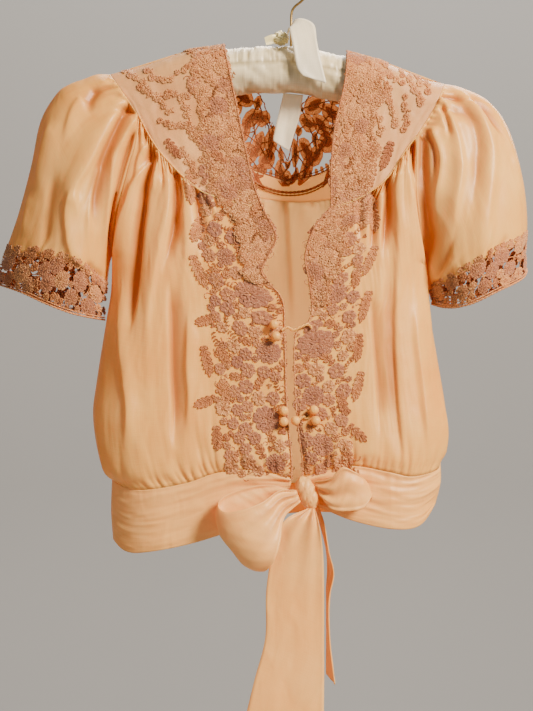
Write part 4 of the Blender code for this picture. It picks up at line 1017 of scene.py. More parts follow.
def waistband(side):
    top = smooth_line(WAIST[side])
    bottom = smooth_line(BAND_BOTTOM[side])
    if side == "left":
        ends = smooth_line(BAND_SIDE["left"]), smooth_line([WAIST["left"][-1], BAND_BOTTOM["left"][-1]])
        columns = 1 - np.cos(np.linspace(0, np.pi / 2, 121))
    else:
        ends = smooth_line([WAIST["right"][0], BAND_BOTTOM["right"][0]]), smooth_line(BAND_SIDE["right"])
        columns = np.sin(np.linspace(0, np.pi / 2, 101))
    u, v = np.meshgrid(columns, np.linspace(0, 1, 45))
    flat = coons(top, bottom, *ends, u, v)
    normals = body_normals(flat, "front")
    x, y = u * 185, v * 66
    toward_knot = u if side == "left" else 1 - u
    seam_side = 1 - toward_knot
    heights = band_folds(x, y, toward_knot, 131 if side == "left" else 151)
    heights += pleats(x, y, 6, 170, 8, 9, 0.9, 133)
    heights *= ease(v * 14) * ease((1 - v) * 12) * ease((1 - seam_side) * 24) * ease((1 - toward_knot) * 30)
    grid = on_body(flat, "front") + normals * heights[..., None]
    ob = walled("waistband_" + side + "_silk", grid, normals, CLOTH, [BAND_SILK], np.stack([y, x], axis=-1),
                painted_fold_shade_amount(heights))
    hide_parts("waistband_" + side)
    return ob


def waistband_back():
    top = smooth_line(BACK_WAIST)
    bottom = smooth_line(BACK_BAND_BOTTOM)
    ends = smooth_line(BAND_SIDE["left"]), smooth_line(BAND_SIDE["right"])
    u, v = np.meshgrid(end_cluster(151), np.linspace(0, 1, 33))
    flat = coons(top, bottom, *ends, u, v)
    normals = body_normals(flat, "back")
    x, y = u * 345, v * 62
    heights = crumple(y, x, 171, 8, 80, 1.0) + pleats(x, y, 6, 340, 8, 9, 0.9, 173)
    heights *= ease(v * 14) * ease((1 - v) * 12) * ease(np.minimum(u, 1 - u) * 40)
    grid = on_body(flat, "back") + normals * heights[..., None]
    ob = walled("waistband_back_silk", grid, normals, CLOTH, [BAND_SILK], np.stack([y, x], axis=-1),
                painted_fold_shade_amount(heights))
    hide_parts("waistband_back")
    return ob


BANDS = {side: waistband(side) for side in SIDES}
BANDS["back"] = waistband_back()

# %% [markdown]
# ## Bow
# The band's own ends are tied in a soft bow. Each loop and tail is one ribbon of cloth through
# rows of two edge places. The folds start together at the knot and open out as the ribbon widens,
# and each edge is rolled and hemmed.

# %% Bow
KNOT_MIDDLE = (15.0, -56.1, -561.0)
KNOT_HALF = (11.0, 9.6, 18.0)
KNOT_TILT = 24.0
KNOT_GAP = 0.5


def at_knot(angle, lean, out=0.0):
    """A place just off the knot's outline: angle is clockwise from its top as seen from the
    front, lean is how far round to the front it lies, in degrees."""
    a, b, tilt = math.radians(angle), math.radians(lean), math.radians(KNOT_TILT)
    x = (KNOT_HALF[0] + KNOT_GAP + out) * math.sin(a) * math.cos(b)
    y = -(KNOT_HALF[1] + KNOT_GAP + out) * math.sin(b)
    z = (KNOT_HALF[2] + KNOT_GAP + out) * math.cos(a) * math.cos(b)
    return (KNOT_MIDDLE[0] + x * math.cos(tilt) - z * math.sin(tilt), KNOT_MIDDLE[1] + y,
            KNOT_MIDDLE[2] + x * math.sin(tilt) + z * math.cos(tilt))


TIES = {
    "tie_loop_left": [(at_knot(-62, 28, 0.35), at_knot(-108, 28, 0.35)),
                      ((-14, -68, -558), (-9, -68, -586)),
                      ((-31, -79, -569), (-13, -80, -609)), ((-53, -83, -577), (-18, -84, -626)),
                      ((-69, -78, -579), (-25, -77, -637)), ((-76, -68, -573), (-30, -68, -640)),
                      ((-70, -60, -564), (-26, -59, -634)), ((-46, -55, -555), (-19, -54, -619)),
                      ((-20, -52, -553), (-12, -51.5, -590)), (at_knot(-75, -28), at_knot(-105, -28))],
    "tie_loop_right": [(at_knot(62, 15), at_knot(105, 15)), ((38, -69, -545), (38, -69, -576)),
                       ((50, -72, -534), (54, -71, -579)), ((62, -70, -538), (72, -69, -576)),
                       ((72, -64, -546), (80, -63, -566)), ((73, -58, -548), (80, -57, -568)),
                       ((62, -53, -542), (68, -53, -576)), ((42, -51, -548), (46, -51, -580)),
                       (at_knot(72, -28, 0.3), at_knot(98, -28, 0.3))],
    "tie_tail_long": [(at_knot(-150, 20), at_knot(178, 20)), ((-8, -69, -588), (27, -69, -592)),
                      ((-19, -68, -612), (31, -67, -622)), ((-27, -66, -660), (32, -66, -665)),
                      ((-28, -66, -708), (32, -66, -712)), ((-39, -67, -751), (32, -67, -760)),
                      ((-48, -66, -788), (31, -66, -822))],
    "tie_tail_short": [(at_knot(158, -8), at_knot(172, -30)), ((32, -52, -592), (28, -45, -594)),
                       ((37, -54, -622), (34, -42, -618)), ((42, -52, -645), (36, -30, -641)),
                       ((37, -54, -672), (35, -26, -668)), ((38, -56, -715), (36, -28, -712)),
                       ((43, -60, -757), (35, -30, -750))],
}
LOOP_ROUND = {"tie_loop_left": 15.0, "tie_loop_right": 3.0}    # mm that a loop's far end is rounded by
# for each ribbon: folds across it at the knot, how deep they are, and how far down they last
TIE_FOLDS = {"tie_loop_left": (2.6, 3.6, 0.44), "tie_loop_right": (2.2, 2.8, 0.5),
             "tie_tail_long": (2.4, 3.6, 0.16), "tie_tail_short": (1.4, 1.2, 0.5)}


def grid_normals(grid):
    """Unit normals of a grid of points."""
    n = np.cross(np.gradient(grid, axis=1), np.gradient(grid, axis=0))
    return n / np.maximum(np.linalg.norm(n, axis=-1, keepdims=True), 1e-9)


def ribbon_grid(rows, steps_along, steps_across):
    first = smooth_line([r[0] for r in rows])
    second = smooth_line([r[1] for r in rows])
    along = np.linspace(0, 1, steps_along)
    a, b = at(first, along), at(second, along)
    w = np.linspace(0, 1, steps_across)
    grid = (1 - w)[None, :, None] * a[:, None] + w[None, :, None] * b[:, None]
    length = (first[1][-1] + second[1][-1]) / 2
    return grid, along, w, length


def tie(name, seed):
    rows = TIES[name]
    length_steps = {"tie_loop_left": 121, "tie_loop_right": 91, "tie_tail_long": 131}.get(name, 91)
    across_steps = 17 if name == "tie_tail_short" else 47
    grid, along, w, length = ribbon_grid(rows, length_steps, across_steps)
    normals = grid_normals(grid)
    wide = np.linalg.norm(grid[:, 0] - grid[:, -1], axis=1)[:, None]
    is_loop = "loop" in name
    from_knot = np.minimum(along, 1 - along) * 2 if is_loop else along
    x = w[None, :] * wide
    y = from_knot[:, None] * length
    count, deep, lasts = TIE_FOLDS[name]
    drawn = deep * np.sin(2 * np.pi * count * w[None, :] + 0.8 * np.sin(along * 7)[:, None] + seed)
    fade = 1 / (1 + (from_knot[:, None] / lasts) ** 3)
    start = ease(np.minimum(along, 1 - along if is_loop else 1) * 22)[:, None]
    heights = drawn * fade * (0.35 + 0.65 * np.clip(wide / wide.max(), 0, 1))
    heights = (heights + crumple(x, y, seed, 18, 50, 1.0)
               + crumple(x + 0.6 * y, y - 0.6 * x, seed + 6, 8, 36, 0.7))
    heights *= start * ease(w * 9)[None, :] * ease((1 - w) * 9)[None, :]
    if is_loop:     # the loop's far end is round, not cut straight across
        away = grid - KNOT_MIDDLE
        away = away * (1, 0, 1) / np.linalg.norm(away * (1, 0, 1), axis=-1, keepdims=True)
        bulge = (LOOP_ROUND[name] * (1 - np.abs(2 * w - 1) ** 3)[None, :]
                 * np.exp(-((along - 0.5) / 0.2) ** 2)[:, None])
        grid = grid + away * bulge[..., None]
    roll = np.exp(-((w * wide - 1.8) / 1.3) ** 2) + np.exp(-(((1 - w) * wide - 1.8) / 1.3) ** 2)
    grid = grid + normals * (heights + 0.8 * roll * start)[..., None]
    uv = np.stack([x, np.broadcast_to(along[:, None] * length, x.shape)], axis=-1)
    ob = walled(name + "_silk", grid, normals, CLOTH, [BAND_SILK], uv, painted_fold_shade_amount(0.9 * drawn * fade))
    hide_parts(name)
    return ob, (float(wide.max()), length)


BOW = {name: tie(name, 200 + 10 * i) for i, name in enumerate(TIES)}


def tie_knot():
    """The strap drawn tight over the middle: a rounded form with folds that run round it."""
    around, over = 72, 40
    a = np.linspace(0, 2 * np.pi, around, endpoint=False)
    b = np.linspace(-np.pi / 2, np.pi / 2, over)
    aa, bb = np.meshgrid(a, b)
    x = np.cos(bb) * np.sin(aa)
    y = -np.cos(bb) * np.cos(aa)
    z = np.sin(bb)
    slant = 5.2 * z - 3.4 * x + 1.2 * rumple(aa * 1.4, bb * 3, 260)
    creases = 0.13 * (np.abs(np.sin(slant)) ** 0.7 - 0.75) * np.cos(bb) ** 0.5
    waist = 1 - 0.10 * np.exp(-(z / 0.5) ** 2)
    size = waist + creases
    local = np.stack([x * KNOT_HALF[0], y * KNOT_HALF[1], z * KNOT_HALF[2]], axis=-1) * size[..., None]
    tilt = math.radians(KNOT_TILT)
    turned = np.stack([local[..., 0] * math.cos(tilt) - local[..., 2] * math.sin(tilt), local[..., 1],
                       local[..., 0] * math.sin(tilt) + local[..., 2] * math.cos(tilt)], axis=-1)
    points = (turned + KNOT_MIDDLE).reshape(-1, 3)
    faces = []
    for i in range(over - 1):
        for k in range(around):
            n = (k + 1) % around
            faces.append([i * around + k, i * around + n, (i + 1) * around + n, (i + 1) * around + k])
    uv = np.stack([aa * 12, bb * 14], axis=-1).reshape(-1, 2)
    ob = mesh_piece("tie_knot_silk", points, faces, [BAND_SILK], uv)
    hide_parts("tie_knot")
    return ob


KNOT = tie_knot()
print("bow, longest ribbon in mm:", round(max(size[1] for _, size in BOW.values())))

# %% [markdown]
# ## Lace motifs
# Real corded lace is drawn with one cord that is stitched down in loops. A flower is a ring of
# loops round a button of cord, a leaf is a long loop with a vein, and between them the cord curls.
# Here each loop is a petal: a small patch with a raised cord round its edge, a hollow and a vein.
# A motif is a table of petals: place, turn, length, width, how pointed, dye and height in mm.

# %% Petals
PETAL_ALONG = np.array([0.0, 0.14, 0.42, 0.72, 0.93, 1.0])
PETAL_ACROSS = np.array([-1.0, -0.74, -0.26, 0.26, 0.74, 1.0])
CORD_PROFILE = np.array([0.0, 1.0, 0.35, 0.45, 1.0, 0.0])
LACE_LIFT = 0.25
BELOW_RIDGE = 0.02    # mm that lace keeps below the shoulder ridge


def petal(x, y, turn, length, width, point=0.2, dye=0.4, rise=1.25):
    return (x, y, turn, length, width, point, dye, rise)


def blossom(r, dye, chance):
    """A small open flower: five or six round petals and a raised middle."""
    count = int(chance.integers(5, 7))
    start = chance.uniform(0, 6)
    rows = []
    for k in range(count):
        a = start + 2 * np.pi * k / count + chance.normal(0, 0.08)
        rows.append(petal(0.16 * r * np.cos(a), 0.16 * r * np.sin(a), a, r * chance.uniform(0.78, 0.9),
                          2.0 * r * np.sin(np.pi / count) * 0.98, 0.0, dye))
    rows.append(petal(-0.24 * r, 0, 0, 0.48 * r, 0.46 * r, 0.0, dye - 0.3, 1.3))
    return rows


def rose(r, dye, chance):
    """A large round flower of three close rings of petals."""
    rows = []
    for ring, (inner, outer, count) in enumerate([(0.55, 1.0, 11), (0.28, 0.72, 8), (0.05, 0.40, 5)]):
        start = chance.uniform(0, 6)
        for k in range(count):
            a = start + 2 * np.pi * k / count + chance.normal(0, 0.06)
            length = (outer - inner) * r * chance.uniform(0.92, 1.12)
            width = 2 * r * (inner + outer) / 2 * np.sin(np.pi / count) * 1.35
            rows.append(petal(inner * r * np.cos(a), inner * r * np.sin(a), a, length, width, 0.0,
                              dye + chance.normal(0, 0.05), 0.8 + 0.35 * ring))
    return rows


def trefoil(r, dye, chance):
    start = chance.uniform(0, 6)
    return [petal(0, 0, start + k * 2 * np.pi / 3, r, 0.95 * r, 0.1, dye) for k in range(3)]


def leaf(r, dye, chance):
    """A leaf of toothed lobes on both sides of a vein, with one at the tip."""
    turn = chance.uniform(0, 2 * np.pi)
    return turned(toothed_leaf(2 * r, 1.1 * r, dye, chance), -r * np.cos(turn), -r * np.sin(turn), turn)


def toothed_leaf(length, width, dye, chance):
    pairs = max(int(length / 5.0), 2)
    rows = [petal(0, 0, 0, length * 0.86, width * 0.26, 0.6, dye - 0.1, 1.1)]
    for k in range(pairs):
        t = (k + 0.2) / pairs
        reach = width * 0.5 * math.sin(math.pi * (0.16 + 0.70 * t)) ** 0.8 + 0.8
        for side in (1, -1):
            rows.append(petal(length * t * 0.84, 0, side * (0.95 - 0.35 * t) + chance.normal(0, 0.05),
                              reach * 1.22, length / pairs * 0.86, 0.35, dye + chance.normal(0, 0.05)))
    rows.append(petal(length * 0.78, 0, 0, length * 0.22, width * 0.36, 0.5, dye))
    return rows


def sprig(r, dye, chance):
    """A bent stem of small leaves in pairs."""
    turn = chance.uniform(0, 2 * np.pi)
    bend = chance.uniform(-0.6, 0.6)
    rows = []
    for k in range(5):
        t = k / 4
        x, y = (2 * t - 1) * r, bend * r * (1 - (2 * t - 1) ** 2)
        for side in (1, -1):
            rows.append(petal(x, y, side * 0.8, 0.50 * r, 0.26 * r, 0.5, dye))
    rows.append(petal(0.9 * r, 0, 0, 0.5 * r, 0.3 * r, 0.5, dye))
    return turned(rows, 0, 0, turn)


def oval(r, dye, chance):
    """A plain broad leaf, with a smaller one on it."""
    turn = chance.uniform(0, 2 * np.pi)
    rows = [petal(-r, 0, 0, 2 * r, 1.5 * r, 0.1, dye, 0.7),
            petal(-0.7 * r, 0, 0, 1.4 * r, 0.7 * r, 0.3, dye - 0.1, 1.2)]
    return turned(rows, 0, 0, turn)


def stitch(r, dye, chance):
    turn = chance.uniform(0, 2 * np.pi)
    return [petal(-r * np.cos(turn), -r * np.sin(turn), turn, 2 * r, 1.25 * r, 0.2, dye, 0.7)]


def turned(rows, x, y, turn):
    """A motif moved and turned."""
    c, s = math.cos(turn), math.sin(turn)
    return [(x + c * r[0] - s * r[1], y + s * r[0] + c * r[1], r[2] + turn, *r[3:]) for r in rows]


# %% [markdown]
# Motifs are laid out the way a lace maker fills a band: the large flowers first, then leaves, small
# flowers and sprigs where there is room, and single loops in the last gaps. The places are chance,
# with a fixed seed, and only the largest flowers have places from the photograph.

# %% Layout
MOTIFS = {"rose": rose, "blossom": blossom, "trefoil": trefoil, "leaf": leaf, "sprig": sprig,
          "stitch": stitch, "oval": oval}


def layout(room, size, plan, seed, first=()):
    """Fills a band with motifs. room(p, q) is how far a place is inside the band, size its length
    and width, and plan rows are (motif, smallest, largest radius, how many tries, dyes)."""
    chance = np.random.default_rng(seed)
    rows, taken = [], []
    for kind, p, q, r, dye in first:
        rows += turned(MOTIFS[kind](r, dye, chance), p, q, chance.uniform(0, 6))
        taken.append((p, q, r))
    for kind, small, large, tries, dyes, overlap in plan:
        for _ in range(tries):
            p, q = chance.uniform(*size[0]), chance.uniform(*size[1])
            r = chance.uniform(small, large)
            if room(p, q) < r * overlap:
                continue
            if taken:
                t = np.array(taken)
                if np.any(np.hypot(t[:, 0] - p, t[:, 1] - q) < (t[:, 2] + r) * overlap):
                    continue
            dye = chance.choice(dyes) + chance.normal(0, 0.05)
            rows += turned(MOTIFS[kind](r, dye, chance), p, q, 0.0)
            taken.append((p, q, r))
    return rows, taken


# %% Lace meshes


def outer_tree(*pieces):
    """A search tree of cloth pieces, for laying lace on them; in mm."""
    verts, faces = [], []
    for ob in pieces:
        co = np.empty(len(ob.data.vertices) * 3)
        ob.data.vertices.foreach_get("co", co)
        start = len(verts)
        verts += (co.reshape(-1, 3) / MM).tolist()
        faces += [[start + i for i in p.vertices] for p in ob.data.polygons]
    return BVHTree.FromPolygons(verts, faces)


def lay(points, normals, tree, reach=16.0):
    """Moves points along their normals onto the cloth below them, if there is any."""
    if tree is None:
        return points
    out = points.copy()
    start = points + normals * reach
    for i in range(len(points)):
        hit = tree.ray_cast(Vector(start[i]), Vector(-normals[i]), 2 * reach)[0]
        if hit is not None:
            out[i] = hit
    return out


def petal_mesh(rows, surface, tree, lift):
    """Points, faces and dyes of all the petals of a lace piece."""
    t = np.array(rows)
    chance = np.random.default_rng(len(rows))
    a, c = np.meshgrid(PETAL_ALONG, PETAL_ACROSS, indexing="ij")
    point = t[:, 5][:, None, None]
    wide = np.sin(np.pi * np.clip(a, 0.02, 0.985)[None] ** (1 - 0.35 * point)) ** (0.55 + 0.75 * point)
    x = a[None] * t[:, 3][:, None, None]
    y = c[None] * wide * t[:, 4][:, None, None] / 2
    cos, sin = np.cos(t[:, 2])[:, None, None], np.sin(t[:, 2])[:, None, None]
    p = (t[:, 0][:, None, None] + cos * x - sin * y).ravel()
    q = (t[:, 1][:, None, None] + sin * x + cos * y).ravel()
    share = (CORD_PROFILE[None, :] * np.array([0.1, 1.0, 0.9, 0.9, 1.1, 0.1])[:, None])
    height = (share[None] * t[:, 7][:, None, None]).ravel()
    points, normals = surface(p, q)
    extra = lift(p, q) if callable(lift) else lift
    points = lay(points, normals, tree) + normals * (height + extra)[:, None]
    n_along, n_across = len(PETAL_ALONG), len(PETAL_ACROSS)
    face = grid_faces(n_along, n_across)
    count = n_along * n_across
    faces = (face[None] + (np.arange(len(t)) * count)[:, None, None]).reshape(-1, 4)
    dye = np.zeros((len(t), n_along, n_across, 4))
    dye[..., 0] = np.clip(t[:, 6], 0, 1)[:, None, None]
    # Green is the height within the petal, which the lace material turns into painted shade and a painted
    # highlight.
    dye[..., 1] = share[None]
    dye[..., 2] = chance.uniform(0, 1, len(t))[:, None, None]
    dye[..., 3] = 1
    return points, faces, dye.reshape(-1, 4), normals


def cord_mesh(paths, surface, tree, lift, dye=0.3):
    """Tubes along paths of places on the lace: (points, radius, twisted)."""
    parts = []
    for path, radius, twisted in paths:
        path = np.asarray(path, dtype=float)
        points, normals = surface(path[:, 0], path[:, 1])
        extra = lift(path[:, 0], path[:, 1]) if callable(lift) else lift
        above = np.broadcast_to(extra + radius * 0.8, (len(path),))[:, None]
        points = lay(points, normals, tree) + normals * above
        parts.append(rope(points, radius) if twisted else tube(points, radius, 4))
    points, faces = merged(parts)
    # Green 0.85 counts the cords as raised thread, so they get the lace's painted highlight.
    colour = np.tile((dye, 0.85, 0.5, 1.0), (len(points), 1))
    return points, faces, colour


def lace_piece(name, petals, paths, surface, tree, lift, material, nodes, ground=None, cord_dye=0.3):
    """One lace piece: its petals, cords and, where it is dense, a ground behind them."""
    points, faces, dye, _ = petal_mesh(petals, surface, tree, lift)
    every_point, every_face, every_dye = [points], faces.tolist(), [dye]
    count = len(points)
    if paths:
        p, f, c = cord_mesh(paths, surface, tree, lift, cord_dye)
        every_face += [[i + count for i in face] for face in f]
        every_point.append(p)
        every_dye.append(c)
        count += len(p)
    if ground is not None:
        p, f, c = ground
        every_face += [[i + count for i in face] for face in f]
        every_point.append(p)
        every_dye.append(c)
    points = np.vstack(every_point)
    ob = mesh_piece(name, points, every_face, [material], points[:, (0, 2)])
    layer = ob.data.color_attributes.new("dye", "FLOAT_COLOR", "POINT")
    layer.data.foreach_set("color", np.vstack(every_dye).astype(np.float32).ravel())
    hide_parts(*nodes)
    return ob


CLOTH_TREE = outer_tree(*FRONTS.values(), *YOKES.values())

# %% [markdown]
# ## Front lace
# The lace lies on both fronts, from the front edge to a loose border of toothed leaves. It is
# densest near the edge, with large mauve roses, and silk shows between the motifs further out.

# %% Front lace
FRONT_SPINE = {"left": [(-45, -215), (-38, -300), (-14, -400), (-6, -470), (-1, -546)],
               "right": [(42, -215), (36, -300), (14, -400), (4, -470), (10, -546)]}
LACE_REACH = {"left": [(215, 52), (300, 60), (400, 70), (470, 74), (545, 70)],
              "right": [(215, 40), (300, 42), (400, 52), (470, 58), (545, 56)]}
# toothed leaves of the outer border: down from the hook, out from the edge, turn, length, width
BORDER_LEAVES = {
    "left": [(246, 62, 1.6, 38, 13), (291, 60, 2.0, 27, 12), (333, 66, 1.45, 34, 13), (342, 50, 1.8, 26, 11),
             (384, 72, 2.9, 25, 11), (426, 78, 1.5, 33, 12), (420, 60, 1.35, 30, 11), (468, 84, 2.8, 26, 11),
             (462, 62, 1.7, 30, 11), (505, 74, 1.6, 26, 12), (528, 60, 2.2, 22, 10)],
    "right": [(232, 40, 1.5, 36, 12), (278, 46, 1.8, 30, 12), (322, 48, 1.4, 32, 11), (338, 38, 1.7, 26, 10),
              (370, 54, 1.55, 34, 11), (412, 56, 1.7, 30, 11), (452, 62, 1.45, 32, 11),
              (470, 48, 1.9, 26, 11), (500, 62, 2.4, 24, 11), (524, 50, 1.6, 22, 10)],
}
ROSES = {"left": [("rose", 357, 21, 14.5, 0.95), ("rose", 417, 15, 11.5, 0.95), ("rose", 486, 22, 14.0, 0.95),
                  ("rose", 318, 34, 9.5, 0.9), ("rose", 531, 16, 10.0, 0.95), ("blossom", 452, 40, 8.0, 0.85),
                  ("blossom", 392, 38, 8.5, 0.8)],
         "right": [("rose", 408, 17, 14.5, 0.95), ("rose", 356, 22, 10.5, 0.9), ("rose", 462, 18, 11.0, 0.95),
                   ("rose", 512, 24, 12.0, 0.9), ("blossom", 436, 38, 8.5, 0.85),
                   ("blossom", 300, 22, 8.5, 0.8), ("blossom", 380, 40, 7.5, 0.85)]}


def front_lace_surface(side):
    edge = smooth_line(FRONT_EDGE[side])[0]
    neck = smooth_line(NECK[side])[0]
    line = np.vstack([neck[neck[:, 1] > -269], edge])
    line = line[np.argsort(-line[:, 1], kind="stable")]
    spine = smooth_line(FRONT_SPINE[side])[0]
    toward = -1 if side == "left" else 1

    def surface(p, q):
        at_edge = np.interp(p, -line[:, 1], line[:, 0])
        straight = np.interp(p, -spine[:, 1], spine[:, 0])
        share = ease(q / 28)
        x = at_edge * (1 - share) + straight * share + toward * q
        flat = np.stack([x, -np.asarray(p, dtype=float)], axis=-1)
        return on_body(flat, "front"), body_normals(flat, "front")

    return surface


def curls(chance, room, size, count):
    """Loose curls of single cord between the motifs."""
    paths = []
    for _ in range(count):
        p, q = chance.uniform(*size[0]), chance.uniform(*size[1])
        if room(p, q) < 3:
            continue
        t = np.linspace(0, 1, 10)
        turn = chance.uniform(0, 6) + chance.choice((-1, 1)) * t * chance.uniform(2.5, 5.5)
        step = 1.6 * chance.uniform(0.9, 1.7) * (1 - 0.55 * t)
        path = np.stack([p + np.cumsum(step * np.cos(turn)), q + np.cumsum(step * np.sin(turn))], axis=1)
        paths.append((path, chance.uniform(0.32, 0.45), False))
    return paths


def front_lace(side):
    surface = front_lace_surface(side)
    reach = np.array(LACE_REACH[side], dtype=float)
    size = ((222, 545), (0, 76))

    def room(p, q):
        return min(q + 3.0, np.interp(p, reach[:, 0], reach[:, 1]) - q, p - 218, 546 - p)

    seed = 300 if side == "left" else 320
    chance = np.random.default_rng(seed)
    plan = [("blossom", 6.0, 8.5, 500, (0.75, 0.9, 0.55), 0.86), ("leaf", 6.5, 9.5, 900, (0.1, 0.25), 0.80),
            ("sprig", 6.0, 8.0, 700, (0.2, 0.35), 0.80), ("blossom", 3.2, 5.0, 1500, (0.7, 0.85, 0.3), 0.86),
            ("trefoil", 2.2, 3.6, 1500, (0.15, 0.4), 0.9), ("stitch", 1.4, 2.2, 1500, (0.2, 0.5, 0.8), 1.0)]
    petals, _ = layout(room, size, plan, seed + 1, ROSES[side])
    for p, q, turn, length, width in BORDER_LEAVES[side]:
        rows = toothed_leaf(length, width, chance.uniform(0.15, 0.4), chance)
        heading = turn - 1.6
        base_p, base_q = p - length / 2 * math.cos(heading), q - length / 2 * math.sin(heading)
        petals += turned(rows, base_p, base_q, heading)
    paths = curls(chance, room, size, 130)
    down = np.linspace(270, 546, 260)
    paths.append((np.stack([down, np.full_like(down, 0.2)], axis=1), 0.75, True))
    return lace_piece("front_lace_" + side + "_cord", petals, paths, surface, CLOTH_TREE, LACE_LIFT, LACE,
                      ["front_lace_" + side])


FRONT_LACE = {side: front_lace(side) for side in SIDES}
print("front lace faces:", [len(ob.data.polygons) for ob in FRONT_LACE.values()])

# %% [markdown]
# ## Collar lace
# Beside the neck edge the lace is thick and close, with no silk between. Below, the edge turns out
# in narrow revers: there the lace stands off the front, its fold soft and its edge bound in cord.

# %% Collar lace
COLLAR_WIDTH = [(0, 36), (0.15, 39), (0.5, 45), (0.85, 34), (1, 13)]


def collar_surface(side):
    inner = join(NECK[side], FRONT_EDGE[side][:5])
    shares = np.linspace(0, 1, 500)
    steps = np.linalg.norm(np.diff(on_body(at(inner, shares), "front"), axis=0), axis=1)
    run = np.concatenate([[0], np.cumsum(steps)])
    toward = -1 if side == "left" else 1

    def surface(p, q):
        p, q = np.asarray(p, dtype=float), np.asarray(q, dtype=float)
        edge = at(inner, np.interp(p, run, shares))
        x = edge[..., 0] + toward * q
        level = ridge_height(edge[..., 0])
        near_ridge = np.exp(-((level - edge[..., 1]) / 26) ** 2)
        z = edge[..., 1] - 0.12 * q * (1 - near_ridge) + (ridge_height(x) - level) * near_ridge
        z = np.minimum(z, ridge_height(x) - BELOW_RIDGE)
        flat = np.stack([x, z], axis=-1)
        return on_body(flat, "front"), body_normals(flat, "front")

    return surface, run[-1]


def collar_lace(side):
    surface, length = collar_surface(side)
    table = np.array(COLLAR_WIDTH, dtype=float)
    lapel = 0.56 * length

    def width(p):
        share = np.asarray(p) / length
        uneven = 1 + 0.10 * np.cos(share * 31) + 0.05 * np.sin(share * 67)
        return np.interp(share, table[:, 0], table[:, 1]) * uneven

    def lift(p, q):
        turned_out = ease((p - lapel) / (0.16 * length))
        curl = 0.7 * turned_out * ease((q / np.maximum(width(p), 1) - 0.45) / 0.5)
        return 0.3 + 0.7 * turned_out + curl

    def room(p, q):
        return min(q + 2.4, width(p) - q + 1.0, p + 1, length - p + 2)

    seed = 340 if side == "left" else 360
    chance = np.random.default_rng(seed)
    size = ((0, length), (0, 54))
    plan = [("rose", 8.0, 11.5, 260, (0.78, 0.5, 0.45), 0.86),
            ("leaf", 7.5, 10.5, 900, (0.3, 0.5, 0.4), 0.76),
            ("blossom", 5.0, 7.5, 900, (0.5, 0.62, 0.45), 0.80),
            ("sprig", 5.0, 7.0, 900, (0.3, 0.5), 0.74),
            ("blossom", 2.8, 4.2, 2200, (0.5, 0.4, 0.75), 0.84),
            ("trefoil", 2.0, 3.0, 2600, (0.3, 0.5), 0.85),
            ("stitch", 1.2, 1.9, 3200, (0.35, 0.55, 0.7), 0.86)]
    petals, _ = layout(room, size, plan, seed + 1)
    # a scalloped outer border of short loops, and the bound inner edge
    for p in np.arange(2, length - 3, 5.6):
        petals += turned(blossom(chance.uniform(2.6, 4.6), 0.45 + chance.normal(0, 0.1), chance), p,
                         float(width(p)) - chance.uniform(0.5, 4.5), 0)
        petals.append(petal(p + 2.8, 3.4, -math.pi / 2 + chance.normal(0, 0.2), 4.6, 4.2, 0.1,
                            0.25 + chance.normal(0, 0.06)))
    down = np.linspace(0.5, length, 240)
    paths = [(np.stack([down, np.full_like(down, 0.2)], axis=1), 0.85, True),
             (np.stack([down, width(down) - 2.6], axis=1), 0.55, True)]
    paths += curls(chance, room, size, 110)
    p, w = np.meshgrid(down[::3], np.linspace(0, 1, 20), indexing="ij")
    q = w * (width(p) - 2.0)
    points, normals = surface(p.ravel(), q.ravel())
    points = lay(points, normals, CLOTH_TREE) + normals * (lift(p.ravel(), q.ravel()) - 0.12)[:, None]
    # Green 0.5 gives the ground a middling height, so it takes painted shade from the lace material.
    colour = np.tile((0.5, 0.50, 0.5, 1.0), (points.shape[0], 1))
    ground = points, grid_faces(*p.shape).tolist(), colour
    return lace_piece("collar_lace_" + side + "_cord", petals, paths, surface, CLOTH_TREE, lift, LACE,
                      ["collar_lace_" + side], ground, 0.12)


COLLARS = {side: collar_lace(side) for side in SIDES}
print("collar lace faces:", [len(ob.data.polygons) for ob in COLLARS.values()])

# %% [markdown]
# ## Back neck lace
# The V of the back neck is open lace: nothing is behind it, so the gaps between its flowers show
# the backdrop. Short bars of cord tie flower to flower and hold the border.

# %% Back neck lace
# the line of the two cords on the inner side of the back yoke: across and up, in mm
INNER_CORD = [(-58, -212), (-44, -232), (-22, -243), (-2, -246.5), (20, -243), (40, -231), (54, -211)]


def bars(taken, reach, chance, radius=0.42):
    """Cords that tie each motif to its near neighbours."""
    places = np.array(taken)
    paths = []
    for i, (p, q, r) in enumerate(places):
        away = np.hypot(places[:, 0] - p, places[:, 1] - q)
        for j in np.argsort(away)[1:5]:
            if j > i and away[j] < reach + r + places[j, 2]:
                t = np.linspace(0, 1, 7)[:, None]
                line = (1 - t) * places[i, :2] + t * places[j, :2]
                line = line + np.sin(np.pi * t) * chance.normal(0, 0.6, 2)
                paths.append((line, radius, False))
    return paths


